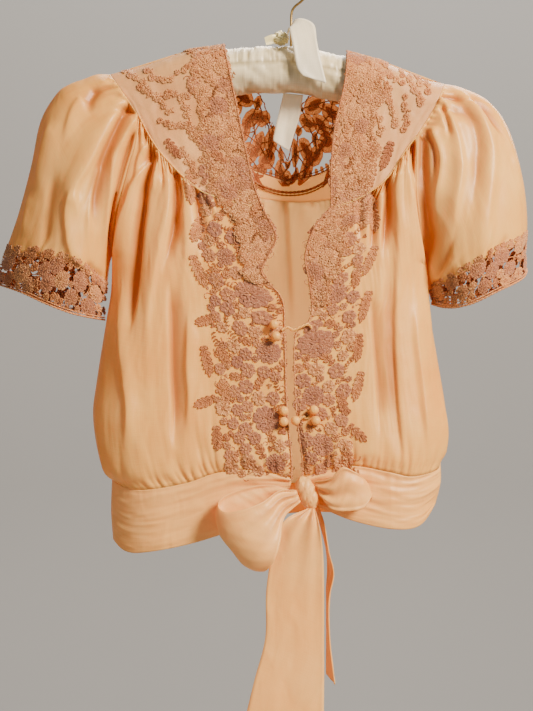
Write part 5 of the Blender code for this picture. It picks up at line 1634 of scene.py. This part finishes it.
def back_neck_lace():
    inner = join(BACK_NECK["left"], BACK_NECK["right"])
    outer = join(BACK_LACE_EDGE["left"], BACK_LACE_EDGE["right"])
    shares = np.linspace(0, 1, 700)
    middle = (at(inner, shares) + at(outer, shares)) / 2
    steps = np.linalg.norm(np.diff(on_body(middle, "back"), axis=0), axis=1)
    run = np.concatenate([[0], np.cumsum(steps)])
    breadth = np.linalg.norm(at(outer, shares) - at(inner, shares), axis=1)
    length = run[-1]

    def surface(p, q):
        share = np.interp(p, run, shares)
        b = np.asarray(q) / np.interp(share, shares, breadth)
        flat = (1 - b)[..., None] * at(inner, share) + b[..., None] * at(outer, share)
        flat[..., 1] = np.minimum(flat[..., 1], ridge_height(flat[..., 0]) - BELOW_RIDGE)
        return on_body(flat, "back"), body_normals(flat, "back")

    def room(p, q):
        outer = np.interp(np.interp(p, run, shares), shares, breadth) - q + 3.0
        return min(q + 1.0, outer, p + 2, length - p + 2)

    chance = np.random.default_rng(380)
    size = ((0, length), (0, 44))
    plan = [("oval", 11.0, 14.5, 700, (0.3, 0.6), 0.62), ("rose", 7.5, 9.5, 200, (0.5, 0.9), 0.80),
            ("oval", 6.0, 8.0, 1200, (0.2, 0.5), 0.70), ("sprig", 4.5, 6.5, 900, (0.2, 0.5), 0.72),
            ("blossom", 3.0, 4.4, 900, (0.4, 0.8), 0.86)]
    petals, taken = layout(room, size, plan, 381)
    paths = bars(taken, 6.5, chance, 0.75)
    along = np.linspace(0.5, length - 0.5, 420)
    width = np.interp(np.interp(along, run, shares), shares, breadth)
    scallop = 1.1 * np.abs(np.sin(along / 3.4))
    paths.append((np.stack([along, 0.6 + scallop], axis=1), 0.6, True))
    paths.append((np.stack([along, width - 0.8], axis=1), 0.8, True))
    paths.append((np.stack([along, width - 3.4], axis=1), 0.5, False))
    for p in np.arange(3, length - 3, 5.2):
        w = float(np.interp(np.interp(p, run, shares), shares, breadth))
        petals.append(petal(p, w - 7.0, math.pi / 2, 6.4, 4.0, 0.2, 0.3))
    # cords and leaves on the inner side of the back yoke, below the V
    strands = []
    for down, radius in ((0.0, 1.3), (-3.2, 0.8)):
        line = at(smooth_line(INNER_CORD), np.linspace(0, 1, 90)) + (0.0, down)
        strands.append(rope(on_body(line, "back") - body_normals(line, "back") * 1.9, radius))
    inside = merged(strands)
    # Red 0.6 is the dye; green 0.9 counts these cords as raised, so they get the lace's painted highlight.
    inside = inside[0], inside[1], np.tile((0.6, 0.9, 0.5, 1.0), (len(inside[0]), 1))
    for from_middle, q, turn in ((-42, 3.5, 0.2), (40, 4.5, -0.2), (-22, 4.0, 0.1)):
        p = length / 2 + from_middle
        w = float(np.interp(np.interp(p, run, shares), shares, breadth))
        petals.append(petal(p - 12, w + q, turn, 25, 7.0, 0.3, 0.2, 0.5))

    def lift(p, q):
        w = np.interp(np.interp(p, run, shares), shares, breadth)
        return np.where(q > w + 1, -2.1, LACE_LIFT - 0.7)

    return lace_piece("back_neck_lace_cord", petals, paths, surface, None, lift, BACK_LACE,
                      ["back_neck_lace"], inside)


BACK_NECK_LACE = back_neck_lace()

# %% [markdown]
# ## Sleeve hems
# Each sleeve ends in a band of the same lace, scalloped above where it lies on the silk, and open
# below. The hem is two turns of thick cord, and fine bars join it to the flowers.

# %% Cuffs
CUFF_HALF = {"left": 122.0, "right": 112.0}


def cuff(side):
    half = CUFF_HALF[side]

    def surface(p, q):
        share = np.clip(np.abs(p) / half, 1e-4, 1)
        sign = np.where(np.asarray(p) >= 0, 1.0, -1.0)
        v = cuff_line(side, share) + np.asarray(q) / cap_length(share)
        v = np.clip(v, 0, 1.03)
        return sleeve_surface(side, sign * share, v), sleeve_normals(side, sign * share, np.clip(v, 0, 1))

    def depth(p):
        share = np.clip(np.abs(p) / half, 0, 1)
        return (1 - cuff_line(side, share)) * cap_length(share)

    def room(p, q):
        return min(q + 4.0, depth(p) - q - 1.0, half - abs(p))

    seed = 400 if side == "left" else 420
    chance = np.random.default_rng(seed)
    size = ((-half, half), (-3, 36))
    plan = [("rose", 7.0, 9.0, 300, (0.6, 0.85), 0.88), ("leaf", 6.0, 8.0, 700, (0.2, 0.4), 0.80),
            ("blossom", 4.5, 6.5, 900, (0.5, 0.75, 0.3), 0.84), ("sprig", 4.5, 6.0, 700, (0.25, 0.4), 0.78),
            ("blossom", 2.8, 3.8, 1200, (0.4, 0.7), 0.88), ("trefoil", 2.0, 2.8, 900, (0.3, 0.5), 0.92)]
    petals, taken = layout(room, size, plan, seed + 1)
    for p in np.arange(-half + 3, half - 2, 7.4):
        rows = toothed_leaf(9.5, 6.0, chance.uniform(0.25, 0.45), chance)
        petals += turned(rows, p, 2.5, -math.pi / 2 + chance.normal(0, 0.35))
    along = np.linspace(-half, half, 420)
    hem = depth(along)
    paths = bars(taken, 5.0, chance)
    paths.append((np.stack([along, hem - 0.6], axis=1), 0.95, True))
    paths.append((np.stack([along, hem - 2.7], axis=1), 0.7, True))
    zigzag = np.where(np.arange(0, 2 * half, 3.2) % 6.4 < 3.2, 0.0, 1.0)
    where = -half + np.arange(0, 2 * half, 3.2)
    net = np.stack([where, depth(where) - 2.8 - 6.5 * zigzag], axis=1)
    paths.append((net, 0.42, False))
    tree = outer_tree(SLEEVES[side])
    return lace_piece("cuff_" + side + "_cord", petals, paths, surface, tree, LACE_LIFT, LACE,
                      [f"cuff_{side}_front", f"cuff_{side}_back"])


CUFFS = {side: cuff(side) for side in SIDES}
print("cuff lace faces:", [len(ob.data.polygons) for ob in CUFFS.values()])

# %% [markdown]
# ## Sprays on the yokes
# Beside the collar the lace breaks up: chains of small flowers on a bent cord lie on the sheer
# yokes, with clear silk between them, and one toothed leaf points down to the gathered seam.

# %% Yoke sprays
SPRAYS = {"left": [[(-175, -121), (-160, -135), (-149, -143)],
                   [(-157, -141), (-144, -151), (-126, -149), (-107, -152)],
                   [(-139, -177), (-126, -181), (-113, -183), (-101, -194)],
                   [(-116, -204), (-107, -220), (-97, -234)],
                   [(-114, -152), (-107, -173), (-100, -194)],
                   [(-150, -124), (-136, -132), (-120, -128), (-106, -118)],
                   [(-140, -150), (-132, -163), (-122, -168)], [(-92, -214), (-86, -228), (-78, -240)]],
          "right": [[(89, -118), (98, -141), (104, -162), (106, -183)],
                    [(111, -122), (124, -137), (134, -150), (130, -160)],
                    [(80, -152), (88, -173), (92, -194)], [(116, -152), (119, -171), (113, -186)],
                    [(97, -116), (104, -128), (113, -140)], [(73, -212), (80, -226), (72, -240)],
                    [(124, -124), (136, -134), (144, -146)]]}
LONE_LEAVES = {"left": [(-131, -196, -0.9, 26, 10)],
               "right": [(103, -198, -1.92, 33, 11), (84, -200, -1.8, 26, 10)]}


def yoke_sprays(side):
    """Chains of flowers on bent cords, and single leaves, on one yoke."""
    chance = np.random.default_rng(440 if side == "left" else 450)
    petals, paths = [], []
    for points in SPRAYS[side]:
        line = smooth_line(points)
        length = line[1][-1]
        paths.append((at(line, np.linspace(0, 1, 14)), 0.55, True))
        for run in np.arange(1.5, length, 6.4):
            aside = chance.normal(0, 1.6, 2)
            place = at(line, run / length) + aside
            flower = blossom(chance.uniform(2.9, 4.6), chance.choice((0.3, 0.5, 0.62)), chance)
            petals += turned(flower, *place, 0)
        for run in np.arange(4, length, 9.0):
            place, heading = at(line, run / length), chance.uniform(0, 2 * np.pi)
            petals.append(petal(*place, heading, 5.2, 2.8, 0.4, 0.4))
    for x, z, turn, length, width in LONE_LEAVES[side]:
        petals += turned(toothed_leaf(length, width, 0.06, chance), x, z, turn)

    def surface(x, z):
        level = np.minimum(z, ridge_height(x) - BELOW_RIDGE)
        flat = np.stack([np.asarray(x, dtype=float), level], axis=-1)
        return on_body(flat, "front"), body_normals(flat, "front")

    points, faces, dye, _ = petal_mesh(petals, surface, CLOTH_TREE, LACE_LIFT)
    p, f, c = cord_mesh(paths, surface, CLOTH_TREE, LACE_LIFT)
    faces = faces.tolist() + [[i + len(points) for i in face] for face in f]
    points = np.vstack([points, p])
    ob = mesh_piece("yoke_spray_" + side, points, faces, [LACE], points[:, (0, 2)])
    layer = ob.data.color_attributes.new("dye", "FLOAT_COLOR", "POINT")
    layer.data.foreach_set("color", np.vstack([dye, c]).astype(np.float32).ravel())
    return ob


YOKE_SPRAYS = {side: yoke_sprays(side) for side in SIDES}

# %% [markdown]
# ## Buttons and frogs
# The fronts close with frogs: small balls of knotted silk cord, and loops of twisted cord that go
# over them. A ball is a sphere whose surface carries the turns of its cord.

# %% Buttons and frogs
BALL = 4.9
BUTTONS = [("button_1", -19, -388), ("button_2", -17, -400), ("button_3", -9, -477),
           ("button_4", -9, -488), ("button_5", 3, -487), ("button_6", 22, -476), ("button_7", 24, -487)]
FROGS = {"frog_upper": [(-11, -394), (-5, -391), (1, -394), (8, -391), (16, -388), (20, -392)],
         "frog_lower": [(7.2, -486), (11, -483), (15, -485), (17.8, -482)]}
FROG_WIRE = 1.4
LACE_ON_SILK = 2.0      # from the silk to the top of the solid lace below a button


def front_surface_depth(x, z):
    return float(cloth_depth(np.array([x, z], dtype=float), "front")) + LACE_ON_SILK


def globe(around, over):
    """Unit directions over a sphere, and the faces between them."""
    a, b = np.meshgrid(np.linspace(0, 2 * np.pi, around, endpoint=False),
                       np.linspace(-np.pi / 2, np.pi / 2, over))
    directions = np.stack([np.cos(b) * np.sin(a), -np.cos(b) * np.cos(a), np.sin(b)], axis=-1)
    i, k = np.meshgrid(np.arange(over - 1), np.arange(around), indexing="ij")
    n = (k + 1) % around
    faces = np.stack([i * around + k, i * around + n, (i + 1) * around + n, (i + 1) * around + k], axis=-1)
    return directions, a, b, faces.reshape(-1, 4).tolist()


def knotted_ball(name, x, z, seed):
    directions, a, b, faces = globe(28, 20)
    turn = seed * 1.3
    d = directions
    cords = np.abs(np.sin(3.2 * np.arctan2(d[..., 0], -d[..., 1]) + turn + 1.4 * d[..., 2])) ** 0.6
    button = np.exp(-((d[..., 0] ** 2 + d[..., 2] ** 2) / 0.10)) * (d[..., 1] < 0)
    size = BALL * (0.93 + 0.07 * cords - 0.05 * button)
    centre = (x, -(front_surface_depth(x, z) + BALL + 0.3), z)
    points = (directions * size[..., None] + centre).reshape(-1, 3)
    ob = mesh_piece(name + "_ball", points, faces, [SILK], np.stack([a * 5, b * 5], axis=-1).reshape(-1, 2))
    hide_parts(name)
    return ob


BALLS = [knotted_ball(*row, i) for i, row in enumerate(BUTTONS)]


def frog(name):
    line = smooth_line([(x, -(front_surface_depth(x, z) + FROG_WIRE + 0.4), z) for x, z in FROGS[name]])
    points = at(line, np.linspace(0, 1, 60))
    strands = []
    for phase in (0, np.pi):
        turn = np.linspace(0, 2 * np.pi * line[1][-1] / 9.0, 60) + phase
        strand = points + np.stack([np.zeros(60), -0.75 * np.cos(turn), 0.95 * np.sin(turn)], axis=1)
        strands.append(rope(strand, 0.82, 2.6))
    p, f = merged(strands)
    ob = mesh_piece(name + "_cord", p, f, [SILK], np.zeros((len(p), 2)))
    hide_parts(name)
    return ob


CORDS = [frog(name) for name in FROGS]

# %% [markdown]
# ## Padded hanger
# The bar is wood, wadded and covered in ivory satin. The satin is drawn up on a thread along the
# front and the back, so it puffs in fine gathers above that line and hangs in softer folds below
# it. The wadding swells between the threads, so the pad is a full round form.

# %% Hanger bar
BAR_LINE = [(-183, -146), (-149, -141), (-107, -127.5), (-70, -123), (-6, -120), (54, -130), (92, -138.5),
            (126, -152), (145, -158)]
BAR_UNDER_CLOTH = 2.1
THREAD_ANGLE = 13.0     # degrees above level, where the gathering thread runs


def hanger_bar():
    line = smooth_line(BAR_LINE)
    length = line[1][-1]
    shares = end_cluster(60)
    shares = np.unique(np.concatenate([shares, np.linspace(0.02, 0.98, 250)]))
    middle = at(line, shares)
    x = middle[:, 0]
    r = np.interp(x, [-183, -149, -100, 90, 120, 145], [19.5, 22.5, 25.0, 25.0, 22.5, 19.5])
    under = (x < SHOULDER["left"][-1][0]) | (x > SHOULDER["right"][0][0])
    z = np.where(under, ridge_height(x) - BAR_UNDER_CLOTH - r, middle[:, 1])
    z = np.where(under, z, middle[:, 1])
    soft = np.convolve(np.pad(z, 9, mode="edge"), np.ones(19) / 19, mode="valid")
    z = np.where(np.abs(soft - z) < 3, soft, z)
    end = np.minimum(shares, 1 - shares) * length
    r = np.where(end < r, np.sqrt(np.maximum(r * r - (r - end) ** 2, 0.5)), r)
    around = 58
    theta = np.linspace(0, 2 * np.pi, around, endpoint=False)
    xx, tt = np.meshgrid(x, theta, indexing="ij")
    elevation = np.degrees(np.arctan2(np.cos(tt), np.abs(np.sin(tt))))
    above = ease((elevation - THREAD_ANGLE) / 9)
    below = ease((THREAD_ANGLE - elevation) / 12)
    gathered = np.abs(rumple(xx / 2.3, elevation / 34 + 5, 501)) + 0.6 * rumple(xx / 4.6, elevation / 40, 502)
    slack = (0.9 * rumple((xx + 0.35 * elevation) / 8.5, elevation / 42, 503)
             + 0.3 * rumple(xx / 3.1, elevation / 25, 504))
    thread = np.exp(-((elevation - THREAD_ANGLE) / 3.6) ** 2)
    near_stem = np.exp(-((xx + 1) / 22) ** 2)
    pucker = near_stem * 0.9 * np.sin((xx + 0.5 * elevation) / 2.4) * ease((elevation + 10) / 40)
    height = above * (1.6 * gathered - 0.5) + below * (slack - 0.1) - 1.3 * thread \
        + 0.35 * thread * rumple(xx / 1.6, elevation / 9, 505) + 0.5 * pucker
    cover = np.where(under, 0.55, 1.0)[:, None]
    raised = np.minimum(height, 1.0) * cover * np.clip(end / 12, 0.1, 1)[:, None]
    size = np.maximum(r[:, None] - 0.75 + raised, 0.3)
    points = np.stack([xx, size * np.sin(tt), z[:, None] + size * np.cos(tt)], axis=-1)
    rows = len(x)
    i, k = np.meshgrid(np.arange(rows - 1), np.arange(around), indexing="ij")
    n = (k + 1) % around
    faces = np.stack([i * around + k, i * around + n, (i + 1) * around + n, (i + 1) * around + k],
                     axis=-1).reshape(-1, 4).tolist()
    faces += [list(range(around)), list(range(rows * around - 1, (rows - 1) * around - 1, -1))]
    uv = np.stack([tt * 25, xx], axis=-1).reshape(-1, 2)
    ob = mesh_piece("hanger_bar_satin", points.reshape(-1, 3), faces, [HANGER_SATIN], uv)
    # Painted shade: the satin is darkened towards its fold colour in the valleys between the puffs.
    layer = ob.data.attributes.new("painted_fold_shade", "FLOAT", "POINT")
    layer.data.foreach_set("value", (0.8 * np.clip((0.25 - height) / 1.3, 0, 1)).astype(np.float32).ravel())
    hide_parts("hanger_bar")
    return ob


HANGER_BAR = hanger_bar()

# %% [markdown]
# The hook is one brass wire, bent in a loop. A cream ribbon is tied at its foot: a crumpled knot,
# one end that stands up and falls over the bar, and one that hangs behind it.

# %% Hook and ribbon
HOOK_WIRE = 1.3
HOOK_RADIUS = 22.0


def hanger_hook():
    centre = -HOOK_RADIUS + HOOK_WIRE
    stem = [(-1, 0, -95.7), (-0.8, 0, -76), (-0.5, 0, -61), (2.5, 0, -54), (9, 0, -48.5), (15, 0, -42)]
    arc = [(HOOK_RADIUS * math.cos(a), 0, centre + HOOK_RADIUS * math.sin(a))
           for a in np.radians(np.arange(-32, 218, 20))]
    line = smooth_line(stem + arc)
    points = at(line, np.linspace(0, 1, 170))
    p, f = tube(points, HOOK_WIRE, 12)
    ob = mesh_piece("hanger_hook_wire", p, f, [BRASS])
    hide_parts("hanger_hook")
    return ob


RIBBON = 0.8
RIBBONS = {
    "ribbon_front": [((-5.1, -9.3, -89), (-5.1, -9.3, -85)), ((-5, -13, -84), (5, -11, -68.5)),
                     ((-3, -20, -79), (22, -18, -74.5)), ((-1.5, -28, -88), (25.5, -28, -94)),
                     ((1.5, -32.0, -104), (29, -31.5, -112)), ((5, -32.5, -122), (34.5, -31.5, -134)),
                     ((11, -32.5, -130), (35, -31.5, -138))],
    "ribbon_back": [((-9, 12.4, -142.9), (12, 12.4, -145.0)), ((-14, 14, -165), (8, 14, -168)),
                    ((-19, 15, -186), (5, 15, -178)), ((-20, 15, -193), (-3, 15, -204))],
}
RIBBON_KNOT_MIDDLE = (-11.3, -2.5, -87.3)
RIBBON_KNOT_HALF = (9.0, 9.5, 7.4)
KNOT_END = [((-14, -6, -84), (-14, -5, -92)), ((-21, -9, -84), (-22, -8, -94)),
            ((-29, -9, -87), (-27, -9, -95))]


def ribbon(name, seed):
    grid, along, w, length = ribbon_grid(RIBBONS[name], 81, 23)
    normals = grid_normals(grid)
    wide = np.linalg.norm(grid[:, 0] - grid[:, -1], axis=1)[:, None]
    x, y = w[None] * wide, along[:, None] * length + 0 * w[None]
    edge = ease(along * 14)[:, None] * ease(w * 9)[None] * ease((1 - w) * 9)[None]
    heights = crumple(x, y, seed, 8, 24, 0.9) * edge
    heights = heights + 0.8 * np.sin(np.pi * w)[None] * np.sin(np.pi * along)[:, None]
    grid = grid + normals * heights[..., None]
    ob = walled(name + "_satin", grid, normals, RIBBON, [RIBBON_SATIN], np.stack([x, y], axis=-1))
    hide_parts(name)
    return ob, (float(wide.max()), length)


def ribbon_knot():
    directions, a, b, faces = globe(80, 48)
    d = directions
    creases = 0.30 * np.abs(rumple(2.8 * d[..., 0] + 9, 5.2 * d[..., 2] + 2.0 * d[..., 1] + 9, 521)) \
        + 0.10 * rumple(6 * d[..., 2] + 20, 3 * d[..., 0] + 20, 522)
    size = 0.84 + creases
    points = (d * size[..., None] * RIBBON_KNOT_HALF + RIBBON_KNOT_MIDDLE).reshape(-1, 3)
    uv = np.stack([a * 9, b * 9], axis=-1).reshape(-1, 2)
    grid, along, w, length = ribbon_grid(KNOT_END, 30, 12)
    grid[..., 1] -= 1.2 * np.sin(2 * np.pi * w)[None] * (1 - 0.5 * along)[:, None]
    flap = grid.reshape(-1, 3)
    faces += (grid_faces(30, 12) + len(points)).tolist()
    flap_uv = np.stack(np.meshgrid(w * 10, along * length), axis=-1).reshape(-1, 2)
    ob = mesh_piece("ribbon_knot_satin", np.vstack([points, flap]), faces, [KNOT_SATIN_PAINTED_SHADE],
                    np.vstack([uv, flap_uv]))
    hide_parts("ribbon_knot")
    return ob


hanger_hook()
RIBBON_ENDS = {name: ribbon(name, 530 + i) for i, name in enumerate(RIBBONS)}
RIBBON_KNOT = ribbon_knot()

# %% [markdown]
# ## What each piece was cut from
# Every sheet of cloth is given a flat size, which is printed with the area of its cloth. The share of
# that rectangle which is cloth was set from the area of the finished piece, so the two are no test
# of the cut.

# %% Cloth sizes


def declare(ob, width, length, held, rests_on, share=1.0, pieces=()):
    """Prints a sheet's flat size in mm and the area of its cloth; share, how much of that rectangle is cloth,
    is not used.
    """
    print(f"{ob.name}: cut {width} x {length} mm, cloth shown {cloth_area(ob):.4f} m2")


SEWN_ON = {"left": BALLS[:4] + [CORDS[0]], "right": BALLS[4:] + [CORDS[1]]}
FRONT_CUT = {"left": (270, 310, 0.79), "right": (200, 300, 0.80)}
YOKE_CUT = {"left": (130, 170, 0.77), "right": (120, 150, 0.76)}
SLEEVE_CUT = {"left": (360, 240, 0.66), "right": (340, 230, 0.67)}
BAND_CUT = {"left": (190, 68), "right": (155, 56)}
for side in SIDES:
    width, length, share = FRONT_CUT[side]
    declare(FRONTS[side], width, length, "gathered", [YOKES[side]], share, [FRONT_LACE[side], *SEWN_ON[side]])
    width, length, share = YOKE_CUT[side]
    declare(YOKES[side], width, length, "draped", [HANGER_BAR], share,
            [PIPING[side], COLLARS[side], YOKE_SPRAYS[side]])
    width, length, share = SLEEVE_CUT[side]
    declare(SLEEVES[side], width, length, "gathered", [YOKES[side], FRONTS[side]], share, [CUFFS[side]])
    declare(BANDS[side], *BAND_CUT[side], "hung", [FRONTS[side]])
declare(BACK, 440, 320, "gathered", [BACK_YOKE], 0.87)
declare(BACK_YOKE, 300, 120, "draped", [HANGER_BAR], 0.66, [PIPING["back"], BACK_NECK_LACE])
declare(BANDS["back"], 345, 55, "hung", [BACK])
TIE_CUT = {"tie_loop_left": (62, 170), "tie_loop_right": (38, 108), "tie_tail_long": (58, 255),
           "tie_tail_short": (21, 200)}
for name, cut in TIE_CUT.items():
    declare(BOW[name][0], *cut, "hung", [KNOT])
declare(RIBBON_ENDS["ribbon_front"][0], 25.5, 68, "draped", [RIBBON_KNOT, HANGER_BAR])
declare(RIBBON_ENDS["ribbon_back"][0], 22, 59, "hung", [HANGER_BAR])
